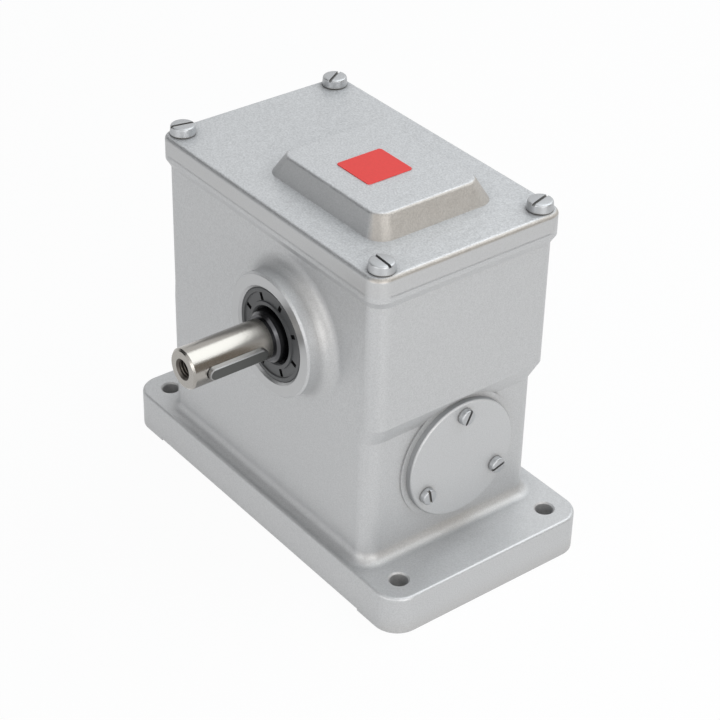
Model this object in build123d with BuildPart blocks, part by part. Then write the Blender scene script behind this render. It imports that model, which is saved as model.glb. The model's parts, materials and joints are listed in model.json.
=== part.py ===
from build123d import *
import math
import os

os.makedirs("parts", exist_ok=True)

# Gear train: second stage 40:1, first stage 15:1
PRESSURE_ANGLE = math.radians(20.0)
MODULE_2 = 2.5
TEETH_2 = 40
WORM_2_R = 11.5
STARTS_2 = 1
MODULE_1 = 1.5
TEETH_1 = 30
WORM_1_R = 12.5
STARTS_1 = 2
ADDENDUM = 1.0
DEDENDUM = 1.2
FLANK_GAP_2 = 0.3
FLANK_GAP_1 = 0.42
RIM_WIDTH = 22.0
RIM_BORE_R = 38.0
HUB_WIDTH = 30.0
HUB_WEB_T = 9.0
HUB_R = 22.0
FIRST_WIDTH = 15.0
FIRST_BORE_R = 8.5
WORM_2_TURNS = 6
WORM_1_TURNS = 3

# Shaft positions: the worm shaft's height, and the centre distances above it
X_OUT = 21.5
Y_MESH = 1.0
X_FIRST = -45.0
Z_WORM = 64.0
Z_OUT = Z_WORM + MODULE_2 * TEETH_2 / 2 + WORM_2_R
Z_IN = Z_WORM + MODULE_1 * TEETH_1 / 2 + WORM_1_R

# Body walls: upper part, lower part stepped in on the +X and +Y sides, top rim
BODY_HALF_L = 84.2
BODY_HALF_W = 53.0
DRAFT_X = 0.3
DRAFT_Y = 0.2
STEP_IN_X = 3.4
STEP_IN_Y = 4.0
WALL_T = 6.2
WALL_R = 8.0
UP_X = (-BODY_HALF_L, BODY_HALF_L)
UP_Y = (-BODY_HALF_W, BODY_HALF_W)
LOW_X = (-BODY_HALF_L - DRAFT_X, BODY_HALF_L - STEP_IN_X)
LOW_Y = (-BODY_HALF_W - DRAFT_Y, BODY_HALF_W - STEP_IN_Y)
STEP_Z = (90.0, 99.0)
HEAD_ROOM = 46.5
JOINT_Z = Z_OUT + HEAD_ROOM
RIM_X = BODY_HALF_L + 1.8
RIM_Y = BODY_HALF_W + 2.0
RIM_R = 8.0
RIM_Z = (JOINT_Z - 6.5, JOINT_Z - 2.5)

# Base flange: a ledge all round the body, wider at the two ends that carry the bolt holes
FOOT_LEDGE_X = 27.8
FOOT_LEDGE_Y = 7.5
FOOT_FLAT = 0.4
BASE_L = 2 * (BODY_HALF_L + FOOT_LEDGE_X)
BASE_W = 2 * (BODY_HALF_W + FOOT_LEDGE_Y)
BASE_T = 21.0
BASE_R = 13.0
BASE_EDGE_R = 1.6
ROOT_FILLET_R = FOOT_LEDGE_Y - BASE_EDGE_R - FOOT_FLAT
RELIEF_L = BASE_L - 54.0
RELIEF_D = 1.0
BASE_HOLE_X = BASE_L / 2 - 14.0
BASE_HOLE_Y = BASE_W / 2 - 14.5
BASE_HOLE_R = 4.5
BASE_HOLE_CHAMFER = 0.8

# Cavity and the inner bearing bosses
CAVITY_LOW_X = (-BODY_HALF_L + WALL_T, LOW_X[1] - WALL_T)
CAVITY_LOW_Y = (LOW_Y[0] + WALL_T, LOW_Y[1] - WALL_T)
CAVITY_UP_X = (-BODY_HALF_L + WALL_T, BODY_HALF_L - WALL_T)
CAVITY_UP_Y = (LOW_Y[0] + WALL_T, BODY_HALF_W - WALL_T)
CAVITY_FLOOR_Z = BASE_T + 6.0
CAVITY_STEP_Z = STEP_Z[1] + 2.0
CAVITY_R = 6.0
COLUMN_R = 9.5
COLUMN_H = 30.0
INNER_BOSS_LAND = 3.0

# Output boss and its bores
BOSS_R = 31.0
BOSS_L = 13.4
BOSS_FRONT_Y = UP_Y[0] - BOSS_L
BOSS_FLARE = 6.5
BOSS_EDGE = 1.0
OUT_BORE_R = 23.5
OUT_BORE_CHAMFER = 1.2
OUT_BEARING_T = 12.0
OUT_FRONT_SHOULDER_Y = BOSS_FRONT_Y + 19.9
OUT_REAR_SHOULDER_Y = UP_Y[1] - 18.0
OUT_SHOULDER_R = 20.5
OUT_INNER_BOSS_R = 29.5

# Worm bore on the +X end
WORM_BORE_R = 17.5
WORM_BEARING_T = 11.0
WORM_SHOULDER_R = 15.8
WORM_SHOULDER_X = LOW_X[1] - 14.8
WORM_POCKET_X = (UP_X[0] + 7.2, UP_X[0] + 7.2 + WORM_BEARING_T)
WORM_INNER_BOSS_R = 29.0
WORM_POCKET_BOSS_R = 23.5
SEAT_R = 34.5
SEAT_H = 0.9
SEAT_X = LOW_X[1] + SEAT_H

# Input side on the +Y wall
PAD_R = 38.0
PAD_Y = UP_Y[1] + 4.0
SPIGOT_R = 25.0
SPIGOT_D = 3.0
IN_BORE_R = 17.5
IN_BEARING_T = 10.0
IN_SHOULDER_Y = PAD_Y - 21.0
IN_SHOULDER_R = 14.8
IN_POCKET_R = 14.0
IN_POCKET_Y = (UP_Y[0] + 8.0, UP_Y[0] + 16.0)
IN_INNER_BOSS_R = 22.5
IN_POCKET_BOSS_R = 19.0
MOTOR_HOLE_PCD_R = 32.5
MOTOR_HOLE_R = 2.1
MOTOR_HOLE_DEPTH = 12.0
CIRCLIP_Y = (PAD_Y - 10.9, PAD_Y - 9.7)
CIRCLIP_GROOVE_R = 18.4

# Top cover
GASKET_T = 0.4
COVER_T = 9.6
COVER_Z = JOINT_Z + GASKET_T
COVER_TOP_Z = COVER_Z + COVER_T
COVER_EDGE_R = 2.4
COVER_SCREW_X = RIM_X - 8.0
COVER_SCREW_Y = RIM_Y - 9.0
COVER_HOLE_R = 4.5
PAD_BASE_X = (-25.5, 61.0)
PAD_BASE_Y = (-35.0, 35.0)
PAD_TOP_X = (-19.5, 54.5)
PAD_TOP_Y = (-30.0, 30.0)
PAD_H = 10.3
PAD_CORNER_R = 9.0
PAD_EDGE_R = 2.0
PAD_HOLLOW_Z = COVER_TOP_Z + 4.5
LABEL_X = (5.0, 29.5)
LABEL_Y = (-16.0, 10.0)
LABEL_T = 0.4
LABEL_R = 1.5

# Slotted cheese-head screws: thread radius, head radius, head height, slot width, slot depth
M8 = (3.95, 6.5, 5.0, 2.0, 2.2)
M5 = (2.45, 4.25, 3.3, 1.2, 1.4)
M8_LENGTH = 28.0
M8_CORE = (4.0, 22.0)
M5_LENGTH = 14.0
M5_CORE = (2.5, 12.5)
COVER_SLOT_ANGLES = {(-1, -1): 78.0, (-1, 1): 121.0, (1, 1): 105.0, (1, -1): -3.0}
ROUND_SLOT_ANGLES = {90.0: 64.0, 210.0: 101.0, 330.0: 17.0}

# Round cover of the worm bore
ROUND_COVER_R = 31.5
ROUND_COVER_T = 3.5
ROUND_COVER_EDGE = 0.8
ROUND_PITCH_R = 24.7
ROUND_HOLE_R = 2.75
ROUND_SPIGOT_L = 4.4
COVER_RING_X = (SEAT_X - 2.8, SEAT_X - 1.2)
COVER_RING_R = 16.2

# Output shaft
SHAFT_R = 10.0
SEAT_END_Y = BOSS_FRONT_Y - 3.2
SHAFT_END_L = 44.4
SHAFT_END_Y = SEAT_END_Y - SHAFT_END_L
BEARING_SEAT_R = 12.5
HUB_SEAT_R = 14.0
COLLAR_R = 17.0
SHAFT_CHAMFER = 1.0
KEY_W = 6.0
KEY_H = 6.0
KEY_Y = (SHAFT_END_Y + 7.0, SHAFT_END_Y + 39.0)
KEYWAY_Y = (SHAFT_END_Y + 4.0, SHAFT_END_Y + 39.0)
KEY_DEPTH = 3.5
CENTRE_HOLE_R = 4.25
CENTRE_HOLE_DEPTH = 22.0
CENTRE_SINK_R = 5.3

# Axis planes: the normal runs along the shaft, positions are read along it
OUT_AXIS = Plane(origin=(X_OUT, 0, Z_OUT), x_dir=(1, 0, 0), z_dir=(0, 1, 0))
WORM_AXIS = Plane(origin=(0, Y_MESH, Z_WORM), x_dir=(0, 0, 1), z_dir=(1, 0, 0))
IN_AXIS = Plane(origin=(X_FIRST, 0, Z_IN), x_dir=(0, 0, -1), z_dir=(0, 1, 0))


def turned(profile, plane):
    """Solid of revolution from (radius, position) points, turned about the plane's normal."""
    with BuildPart() as body:
        with BuildSketch(Plane.XZ):
            with BuildLine():
                Polyline(*profile, close=True)
            make_face()
        revolve(axis=Axis.Z)
    return body.part.moved(plane.location)


def ring(r_in, r_out, s0, s1, plane, edge=0.0):
    """Plain ring between two positions, outer edges broken by a small chamfer."""
    profile = [(r_in, s0), (r_out - edge, s0), (r_out, s0 + edge)]
    profile += [(r_out, s1 - edge), (r_out - edge, s1), (r_in, s1)]
    if edge == 0.0:
        profile = [(r_in, s0), (r_out, s0), (r_out, s1), (r_in, s1)]
    return turned(profile, plane)


def outline(x_range, y_range, radius, mode=Mode.ADD):
    """Rounded rectangle between two x and two y limits, drawn in the open sketch."""
    centre = ((x_range[0] + x_range[1]) / 2, (y_range[0] + y_range[1]) / 2)
    with Locations(centre):
        RectangleRounded(x_range[1] - x_range[0], y_range[1] - y_range[0], radius, mode=mode)


def gear_outline(module, teeth, gap, middle_angle):
    """Full tooth outline with involute flanks, one tooth space centred on the middle angle."""
    pitch_r = module * teeth / 2
    base_r = pitch_r * math.cos(PRESSURE_ANGLE)
    root_r = pitch_r - DEDENDUM * module
    tip_r = pitch_r + ADDENDUM * module
    half = math.pi / (2 * teeth) - gap / (2 * pitch_r)
    half += math.tan(PRESSURE_ANGLE) - PRESSURE_ANGLE
    points = []
    for tooth in range(teeth):
        middle = middle_angle + (tooth + 0.5) * 2 * math.pi / teeth
        for side, radii in ((-1, (root_r, pitch_r, tip_r)), (1, (tip_r, pitch_r, root_r))):
            for radius in radii:
                roll = math.acos(min(1.0, base_r / radius))
                angle = middle + side * (half - math.tan(roll) + roll)
                points.append((radius * math.cos(angle), radius * math.sin(angle)))
    Polygon(*points, align=None)


def worm_thread(module, pitch_r, starts, turns, gap, first, plane):
    """Trapezoid threads swept along helices; `first` is where the first crossing lies."""
    lead = math.pi * module * starts
    slope = math.tan(PRESSURE_ANGLE)
    root = DEDENDUM * module + 0.3
    tip = ADDENDUM * module
    half = math.pi * module / 4 - gap / 2
    with BuildPart() as threads:
        for start in range(starts):
            with BuildPart(mode=Mode.PRIVATE) as thread:
                with BuildLine() as path:
                    Helix(pitch=lead, height=lead * turns, radius=pitch_r)
                with BuildSketch(Plane(origin=(pitch_r, 0, 0), x_dir=(1, 0, 0), z_dir=(0, 1, 0))):
                    with BuildLine():
                        Polyline(
                            (-root, -half - root * slope),
                            (tip, -half + tip * slope),
                            (tip, half - tip * slope),
                            (-root, half + root * slope),
                            close=True,
                        )
                    make_face()
                sweep(path=path.line, is_frenet=True)
            turn = Rot(0, 0, 360.0 * start / starts)
            add(thread.part.moved(Pos(0, 0, first) * turn))
    return threads.part.moved(plane.location)


def cheese_screw(size, length, angle):
    """Slotted cheese-head screw along -Z, head seat at the origin, slot turned by the angle."""
    thread_r, head_r, head_h, slot_w, slot_d = size
    edge = 0.12 * head_h
    with BuildPart(mode=Mode.PRIVATE) as screw:
        with BuildSketch(Plane.XZ):
            with BuildLine():
                Polyline(
                    (0, -length),
                    (thread_r - 0.6, -length),
                    (thread_r, -length + 0.8),
                    (thread_r, 0),
                    (head_r, 0),
                    (head_r - 0.05 * head_h, head_h - edge),
                    (head_r - 0.05 * head_h - 0.3 * edge, head_h - 0.3 * edge),
                    (head_r - 0.05 * head_h - edge, head_h),
                    (0, head_h),
                    close=True,
                )
            make_face()
        revolve(axis=Axis.Z)
        with Locations(Pos(0, 0, head_h) * Rot(0, 0, angle)):
            Box(
                4 * head_r,
                slot_w,
                slot_d,
                align=(Align.CENTER, Align.CENTER, Align.MAX),
                mode=Mode.SUBTRACT,
            )
    return screw.part


def bar_key(width, height, s0, s1, base_r, direction, plane):
    """Parallel key with rounded ends, lying along the plane's normal at a radius."""
    along = Plane(origin=(0, 0, 0), x_dir=(0, 0, 1), z_dir=direction)
    with BuildPart() as key:
        with BuildSketch(along.offset(base_r)):
            with Locations(((s0 + s1) / 2, 0)):
                SlotOverall(s1 - s0, width)
        extrude(amount=height)
    return key.part.moved(plane.location)


# Cast housing with base flange, output boss, round seat and motor pad
with BuildPart() as housing:
    with BuildSketch(Plane.XY):
        RectangleRounded(BASE_L, BASE_W, BASE_R)
    extrude(amount=BASE_T)
    fillet(housing.edges().group_by(Axis.Z)[-1], BASE_EDGE_R)
    with BuildSketch(Plane.XY):
        Rectangle(RELIEF_L, BASE_W)
    extrude(amount=RELIEF_D, mode=Mode.SUBTRACT)
    with BuildSketch(Plane.XY.offset(BASE_T)):
        outline(LOW_X, LOW_Y, WALL_R)
    extrude(amount=STEP_Z[0] - BASE_T)
    at_root = housing.edges().filter_by_position(Axis.Z, BASE_T - 0.01, BASE_T + 0.01)
    on_wall = (BODY_HALF_L + 1.0, BODY_HALF_W + 1.0)
    at_root = at_root.filter_by(lambda e: abs(e.center().X) < on_wall[0] and abs(e.center().Y) < on_wall[1])
    fillet(at_root, ROOT_FILLET_R)
    with BuildSketch(Plane.XY.offset(STEP_Z[0])):
        outline(LOW_X, LOW_Y, WALL_R)
    with BuildSketch(Plane.XY.offset(STEP_Z[1])):
        outline(UP_X, UP_Y, WALL_R)
    loft()
    with BuildSketch(Plane.XY.offset(STEP_Z[1])):
        outline(UP_X, UP_Y, WALL_R)
    extrude(amount=RIM_Z[0] - STEP_Z[1])
    with BuildSketch(Plane.XY.offset(RIM_Z[0])):
        outline(UP_X, UP_Y, WALL_R)
    with BuildSketch(Plane.XY.offset(RIM_Z[1])):
        outline((-RIM_X, RIM_X), (-RIM_Y, RIM_Y), RIM_R)
    loft()
    with BuildSketch(Plane.XY.offset(RIM_Z[1])):
        outline((-RIM_X, RIM_X), (-RIM_Y, RIM_Y), RIM_R)
    extrude(amount=JOINT_Z - RIM_Z[1])

    # Output boss with its large flare into the wall
    with BuildPart(mode=Mode.PRIVATE) as boss:
        with BuildSketch(Plane.XZ):
            wall = UP_Y[0]
            flare_s = wall - BOSS_FLARE
            diagonal = BOSS_FLARE * math.sqrt(0.5)
            with BuildLine():
                Polyline((0, wall + 4), (BOSS_R + BOSS_FLARE, wall + 4), (BOSS_R + BOSS_FLARE, wall))
                ThreePointArc(
                    (BOSS_R + BOSS_FLARE, wall),
                    (BOSS_R + BOSS_FLARE - diagonal, flare_s + diagonal),
                    (BOSS_R, flare_s),
                )
                Polyline(
                    (BOSS_R, flare_s),
                    (BOSS_R, BOSS_FRONT_Y + BOSS_EDGE),
                    (BOSS_R - BOSS_EDGE, BOSS_FRONT_Y),
                    (0, BOSS_FRONT_Y),
                    (0, wall + 4),
                )
            make_face()
        revolve(axis=Axis.Z)
    add(boss.part.moved(OUT_AXIS.location))

    # Raised round seat on the +X end and motor pad on the +Y wall
    add(ring(0, SEAT_R, LOW_X[1] - WALL_R, SEAT_X, WORM_AXIS))
    add(ring(0, PAD_R, LOW_Y[1] - WALL_R, PAD_Y, IN_AXIS, 1.0))

    # Cavity, open at the top
    with BuildSketch(Plane.XY.offset(JOINT_Z)):
        outline(CAVITY_UP_X, CAVITY_UP_Y, CAVITY_R)
    extrude(amount=CAVITY_STEP_Z - JOINT_Z, mode=Mode.SUBTRACT)
    with BuildSketch(Plane.XY.offset(CAVITY_STEP_Z)):
        outline(CAVITY_LOW_X, CAVITY_LOW_Y, CAVITY_R)
    extrude(amount=CAVITY_FLOOR_Z - CAVITY_STEP_Z, mode=Mode.SUBTRACT)

    # Inner bearing bosses and screw columns
    in_wall = WALL_T / 2
    land = INNER_BOSS_LAND
    add(ring(0, OUT_INNER_BOSS_R, UP_Y[0] + in_wall, OUT_FRONT_SHOULDER_Y + land, OUT_AXIS))
    add(ring(0, OUT_INNER_BOSS_R, OUT_REAR_SHOULDER_Y - land, UP_Y[1] - in_wall, OUT_AXIS))
    add(ring(0, WORM_INNER_BOSS_R, WORM_SHOULDER_X - land, LOW_X[1] - in_wall, WORM_AXIS))
    add(ring(0, WORM_POCKET_BOSS_R, UP_X[0] + in_wall, WORM_POCKET_X[1] + land / 2, WORM_AXIS))
    add(ring(0, IN_INNER_BOSS_R, IN_SHOULDER_Y - land, LOW_Y[1] - in_wall, IN_AXIS))
    add(ring(0, IN_POCKET_BOSS_R, UP_Y[0] + in_wall, IN_POCKET_Y[1] + land / 2, IN_AXIS))
    with BuildSketch(Plane.XY.offset(JOINT_Z - COLUMN_H)):
        with GridLocations(2 * COVER_SCREW_X, 2 * COVER_SCREW_Y, 2, 2):
            Circle(COLUMN_R)
        outline(UP_X, UP_Y, WALL_R, Mode.INTERSECT)
    extrude(amount=COLUMN_H)

    # Round cover seat faced off, then the bores
    add(ring(0, SEAT_R, SEAT_X, UP_X[1] + 1, WORM_AXIS), mode=Mode.SUBTRACT)
    add(
        turned(
            [
                (0, BOSS_FRONT_Y - 1),
                (OUT_BORE_R + OUT_BORE_CHAMFER, BOSS_FRONT_Y - 1),
                (OUT_BORE_R + OUT_BORE_CHAMFER, BOSS_FRONT_Y),
                (OUT_BORE_R, BOSS_FRONT_Y + OUT_BORE_CHAMFER),
                (OUT_BORE_R, OUT_FRONT_SHOULDER_Y),
                (OUT_SHOULDER_R, OUT_FRONT_SHOULDER_Y),
                (OUT_SHOULDER_R, OUT_REAR_SHOULDER_Y),
                (OUT_BORE_R, OUT_REAR_SHOULDER_Y),
                (OUT_BORE_R, UP_Y[1] - 0.8),
                (OUT_BORE_R + 0.8, UP_Y[1]),
                (OUT_BORE_R + 0.8, UP_Y[1] + 1),
                (0, UP_Y[1] + 1),
            ],
            OUT_AXIS,
        ),
        mode=Mode.SUBTRACT,
    )
    add(
        turned(
            [
                (0, WORM_POCKET_X[0]),
                (WORM_BORE_R, WORM_POCKET_X[0]),
                (WORM_BORE_R, WORM_POCKET_X[1]),
                (WORM_SHOULDER_R, WORM_POCKET_X[1]),
                (WORM_SHOULDER_R, WORM_SHOULDER_X),
                (WORM_BORE_R, WORM_SHOULDER_X),
                (WORM_BORE_R, SEAT_X + 1),
                (0, SEAT_X + 1),
            ],
            WORM_AXIS,
        ),
        mode=Mode.SUBTRACT,
    )
    add(
        turned(
            [
                (0, IN_POCKET_Y[0]),
                (IN_POCKET_R, IN_POCKET_Y[0]),
                (IN_POCKET_R, 0),
                (IN_SHOULDER_R, 0),
                (IN_SHOULDER_R, IN_SHOULDER_Y),
                (IN_BORE_R, IN_SHOULDER_Y),
                (IN_BORE_R, CIRCLIP_Y[0]),
                (CIRCLIP_GROOVE_R, CIRCLIP_Y[0]),
                (CIRCLIP_GROOVE_R, CIRCLIP_Y[1]),
                (IN_BORE_R, CIRCLIP_Y[1]),
                (IN_BORE_R, PAD_Y - SPIGOT_D),
                (SPIGOT_R, PAD_Y - SPIGOT_D),
                (SPIGOT_R, PAD_Y + 1),
                (0, PAD_Y + 1),
            ],
            IN_AXIS,
        ),
        mode=Mode.SUBTRACT,
    )

    # Bolt holes of the base, cover screws, round cover screws and motor screws
    with Locations((0, 0, BASE_T)):
        with GridLocations(2 * BASE_HOLE_X, 2 * BASE_HOLE_Y, 2, 2):
            CounterSinkHole(
                radius=BASE_HOLE_R,
                counter_sink_radius=BASE_HOLE_R + BASE_HOLE_CHAMFER,
                depth=BASE_T + 1,
                counter_sink_angle=90,
            )
    with Locations((0, 0, JOINT_Z)):
        with GridLocations(2 * COVER_SCREW_X, 2 * COVER_SCREW_Y, 2, 2):
            Hole(radius=M8_CORE[0], depth=M8_CORE[1])
    round_face = Plane(origin=(SEAT_X, Y_MESH, Z_WORM), x_dir=(0, 1, 0), z_dir=(1, 0, 0))
    with Locations(round_face):
        with PolarLocations(ROUND_PITCH_R, 3, start_angle=90):
            Hole(radius=M5_CORE[0], depth=M5_CORE[1])
    motor_face = Plane(origin=(X_FIRST, PAD_Y, Z_IN), x_dir=(1, 0, 0), z_dir=(0, 1, 0))
    with Locations(motor_face):
        with PolarLocations(MOTOR_HOLE_PCD_R, 4, start_angle=45):
            Hole(radius=MOTOR_HOLE_R, depth=MOTOR_HOLE_DEPTH)

# Cast top cover: plate, raised pad, recess over the worm wheel
with BuildPart() as top_cover:
    with BuildSketch(Plane.XY.offset(COVER_Z)):
        RectangleRounded(2 * RIM_X, 2 * RIM_Y, RIM_R)
    extrude(amount=COVER_TOP_Z - COVER_Z)
    fillet(top_cover.edges().group_by(Axis.Z)[-1], COVER_EDGE_R)
    with BuildSketch(Plane.XY.offset(COVER_TOP_Z)):
        outline(PAD_BASE_X, PAD_BASE_Y, PAD_CORNER_R)
    with BuildSketch(Plane.XY.offset(COVER_TOP_Z + PAD_H)):
        outline(PAD_TOP_X, PAD_TOP_Y, PAD_CORNER_R - 2)
    loft()
    fillet(top_cover.edges().group_by(Axis.Z)[-1], PAD_EDGE_R)
    with BuildSketch(Plane.XY.offset(COVER_Z)):
        outline(
            (PAD_BASE_X[0] + 9, PAD_BASE_X[1] - 9),
            (PAD_BASE_Y[0] + 12, PAD_BASE_Y[1] - 12),
            PAD_CORNER_R,
        )
    extrude(amount=PAD_HOLLOW_Z - COVER_Z, mode=Mode.SUBTRACT)
    with Locations((0, 0, COVER_TOP_Z)):
        with GridLocations(2 * COVER_SCREW_X, 2 * COVER_SCREW_Y, 2, 2):
            Hole(radius=COVER_HOLE_R, depth=COVER_T + 1)

# Thin gasket between housing and cover, set back a little from the edge
with BuildPart() as cover_gasket:
    with BuildSketch(Plane.XY.offset(JOINT_Z)):
        RectangleRounded(2 * RIM_X - 0.8, 2 * RIM_Y - 0.8, RIM_R - 0.4)
        RectangleRounded(2 * RIM_X - 16, 2 * RIM_Y - 16, CAVITY_R, mode=Mode.SUBTRACT)
        with GridLocations(2 * COVER_SCREW_X, 2 * COVER_SCREW_Y, 2, 2):
            Circle(COLUMN_R)
            Circle(COVER_HOLE_R, mode=Mode.SUBTRACT)
        outline((-RIM_X + 0.4, RIM_X - 0.4), (-RIM_Y + 0.4, RIM_Y - 0.4), RIM_R - 0.4, Mode.INTERSECT)
    extrude(amount=GASKET_T)

# Four cover screws, each slot at its own angle
with BuildPart() as cover_screws:
    for (side_x, side_y), slot_angle in COVER_SLOT_ANGLES.items():
        screw_at = Pos(side_x * COVER_SCREW_X, side_y * COVER_SCREW_Y, COVER_TOP_Z)
        add(cheese_screw(M8, M8_LENGTH, slot_angle).moved(screw_at))

# Round cover of the worm bearing
with BuildPart() as worm_cover:
    front_x = SEAT_X + ROUND_COVER_T
    add(
        turned(
            [
                (0, SEAT_X - ROUND_SPIGOT_L),
                (WORM_BORE_R - 0.6, SEAT_X - ROUND_SPIGOT_L),
                (WORM_BORE_R - 0.1, SEAT_X - ROUND_SPIGOT_L + 0.5),
                (WORM_BORE_R - 0.1, COVER_RING_X[0]),
                (COVER_RING_R, COVER_RING_X[0]),
                (COVER_RING_R, COVER_RING_X[1]),
                (WORM_BORE_R - 0.1, COVER_RING_X[1]),
                (WORM_BORE_R - 0.1, SEAT_X),
                (ROUND_COVER_R, SEAT_X),
                (ROUND_COVER_R, front_x - ROUND_COVER_EDGE),
                (ROUND_COVER_R - ROUND_COVER_EDGE, front_x),
                (0, front_x),
            ],
            WORM_AXIS,
        )
    )
    cover_face = Plane(origin=(front_x, Y_MESH, Z_WORM), x_dir=(0, 1, 0), z_dir=(1, 0, 0))
    with Locations(cover_face):
        with PolarLocations(ROUND_PITCH_R, 3, start_angle=90):
            Hole(radius=ROUND_HOLE_R, depth=ROUND_COVER_T + 1)

# Three screws of the round cover
with BuildPart() as worm_cover_screws:
    for polar_angle, slot_angle in ROUND_SLOT_ANGLES.items():
        across = Y_MESH + ROUND_PITCH_R * math.cos(math.radians(polar_angle))
        height = Z_WORM + ROUND_PITCH_R * math.sin(math.radians(polar_angle))
        seat = Plane(origin=(front_x, across, height), x_dir=(0, 1, 0), z_dir=(1, 0, 0))
        add(cheese_screw(M5, M5_LENGTH, slot_angle).moved(seat.location))

# Bare rating label on the pad
with BuildPart() as rating_label:
    with BuildSketch(Plane.XY.offset(COVER_TOP_Z + PAD_H)):
        outline(LABEL_X, LABEL_Y, LABEL_R)
    extrude(amount=LABEL_T)

# Output shaft seal: ribbed front face and lip running on the shaft
SEAL_Y = (BOSS_FRONT_Y + 0.9, BOSS_FRONT_Y + 7.9)
SEAL_LIP_R = 12.55
with BuildPart() as output_seal:
    add(
        turned(
            [
                (OUT_BORE_R, SEAL_Y[0] + 0.6),
                (OUT_BORE_R - 0.6, SEAL_Y[0]),
                (21.2, SEAL_Y[0]),
                (20.8, SEAL_Y[0] + 0.7),
                (16.9, SEAL_Y[0] + 0.7),
                (16.6, SEAL_Y[0] - 0.1),
                (14.9, SEAL_Y[0] - 0.1),
                (14.5, SEAL_Y[0] + 0.4),
                (SEAL_LIP_R + 0.25, SEAL_Y[0] + 2.6),
                (SEAL_LIP_R, SEAL_Y[0] + 3.1),
                (SEAL_LIP_R, SEAL_Y[0] + 3.5),
                (SEAL_LIP_R + 1.2, SEAL_Y[0] + 5.2),
                (15.5, SEAL_Y[0] + 5.2),
                (16.2, SEAL_Y[0] + 3.2),
                (21.0, SEAL_Y[0] + 3.2),
                (21.0, SEAL_Y[1]),
                (OUT_BORE_R, SEAL_Y[1]),
            ],
            OUT_AXIS,
        )
    )
    seal_face = Plane(origin=(X_OUT, SEAL_Y[0] + 0.7, Z_OUT), x_dir=(1, 0, 0), z_dir=(0, -1, 0))
    with BuildSketch(seal_face):
        with PolarLocations(18.85, 12, start_angle=8):
            SlotOverall(3.3, 1.1)
    extrude(amount=-1.3, mode=Mode.SUBTRACT)

# Output shaft: stepped bar with collar, keyways and threaded centre hole
with BuildPart() as output_shaft:
    add(
        turned(
            [
                (0, SHAFT_END_Y),
                (SHAFT_R - SHAFT_CHAMFER, SHAFT_END_Y),
                (SHAFT_R, SHAFT_END_Y + SHAFT_CHAMFER),
                (SHAFT_R, SEAT_END_Y - 0.1),
                (BEARING_SEAT_R - 1.2, SEAT_END_Y - 0.1),
                (BEARING_SEAT_R, SEAT_END_Y + 1.1),
                (BEARING_SEAT_R, -45.0),
                (COLLAR_R, -45.0),
                (COLLAR_R, Y_MESH - HUB_WIDTH / 2),
                (HUB_SEAT_R, Y_MESH - HUB_WIDTH / 2),
                (HUB_SEAT_R, Y_MESH + HUB_WIDTH / 2 - 0.5),
                (BEARING_SEAT_R, Y_MESH + HUB_WIDTH / 2 - 0.5),
                (BEARING_SEAT_R, 48.0),
                (BEARING_SEAT_R - 1, 49.0),
                (0, 49.0),
            ],
            OUT_AXIS,
        )
    )
    add(
        bar_key(KEY_W, 10, KEYWAY_Y[0], KEYWAY_Y[1], SHAFT_R - KEY_DEPTH, (1, 0, 0), OUT_AXIS),
        mode=Mode.SUBTRACT,
    )
    add(
        bar_key(8, 10, Y_MESH - 12, Y_MESH + 12, HUB_SEAT_R - 4.0, (0, 1, 0), OUT_AXIS),
        mode=Mode.SUBTRACT,
    )
    add(
        turned(
            [
                (0, SHAFT_END_Y - 1),
                (CENTRE_SINK_R, SHAFT_END_Y - 1),
                (CENTRE_SINK_R, SHAFT_END_Y),
                (CENTRE_HOLE_R, SHAFT_END_Y + CENTRE_SINK_R - CENTRE_HOLE_R),
                (CENTRE_HOLE_R, SHAFT_END_Y + CENTRE_HOLE_DEPTH),
                (0, SHAFT_END_Y + CENTRE_HOLE_DEPTH + CENTRE_HOLE_R * 0.6),
            ],
            OUT_AXIS,
        ),
        mode=Mode.SUBTRACT,
    )

# Keys of the output shaft
output_key = bar_key(KEY_W - 0.04, KEY_H, KEY_Y[0], KEY_Y[1], SHAFT_R - KEY_DEPTH, (1, 0, 0), OUT_AXIS)
wheel_key = bar_key(7.96, 7.0, Y_MESH - 12, Y_MESH + 12, HUB_SEAT_R - 4.0, (0, 1, 0), OUT_AXIS)

# Bronze rim of the worm wheel
with BuildPart() as worm_wheel_rim:
    lean = math.atan(MODULE_2 * STARTS_2 / (2 * WORM_2_R))
    for side in (-1, 1):
        twist = side * RIM_WIDTH / 2 * math.tan(lean) / (MODULE_2 * TEETH_2 / 2)
        section = Plane(
            origin=(X_OUT, Y_MESH + side * RIM_WIDTH / 2, Z_OUT), x_dir=(1, 0, 0), z_dir=(0, -1, 0)
        )
        with BuildSketch(section):
            gear_outline(MODULE_2, TEETH_2, FLANK_GAP_2, -math.pi / 2 - twist)
    loft(ruled=True)
    add(ring(0, RIM_BORE_R, Y_MESH - RIM_WIDTH, Y_MESH + RIM_WIDTH, OUT_AXIS), mode=Mode.SUBTRACT)

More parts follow.
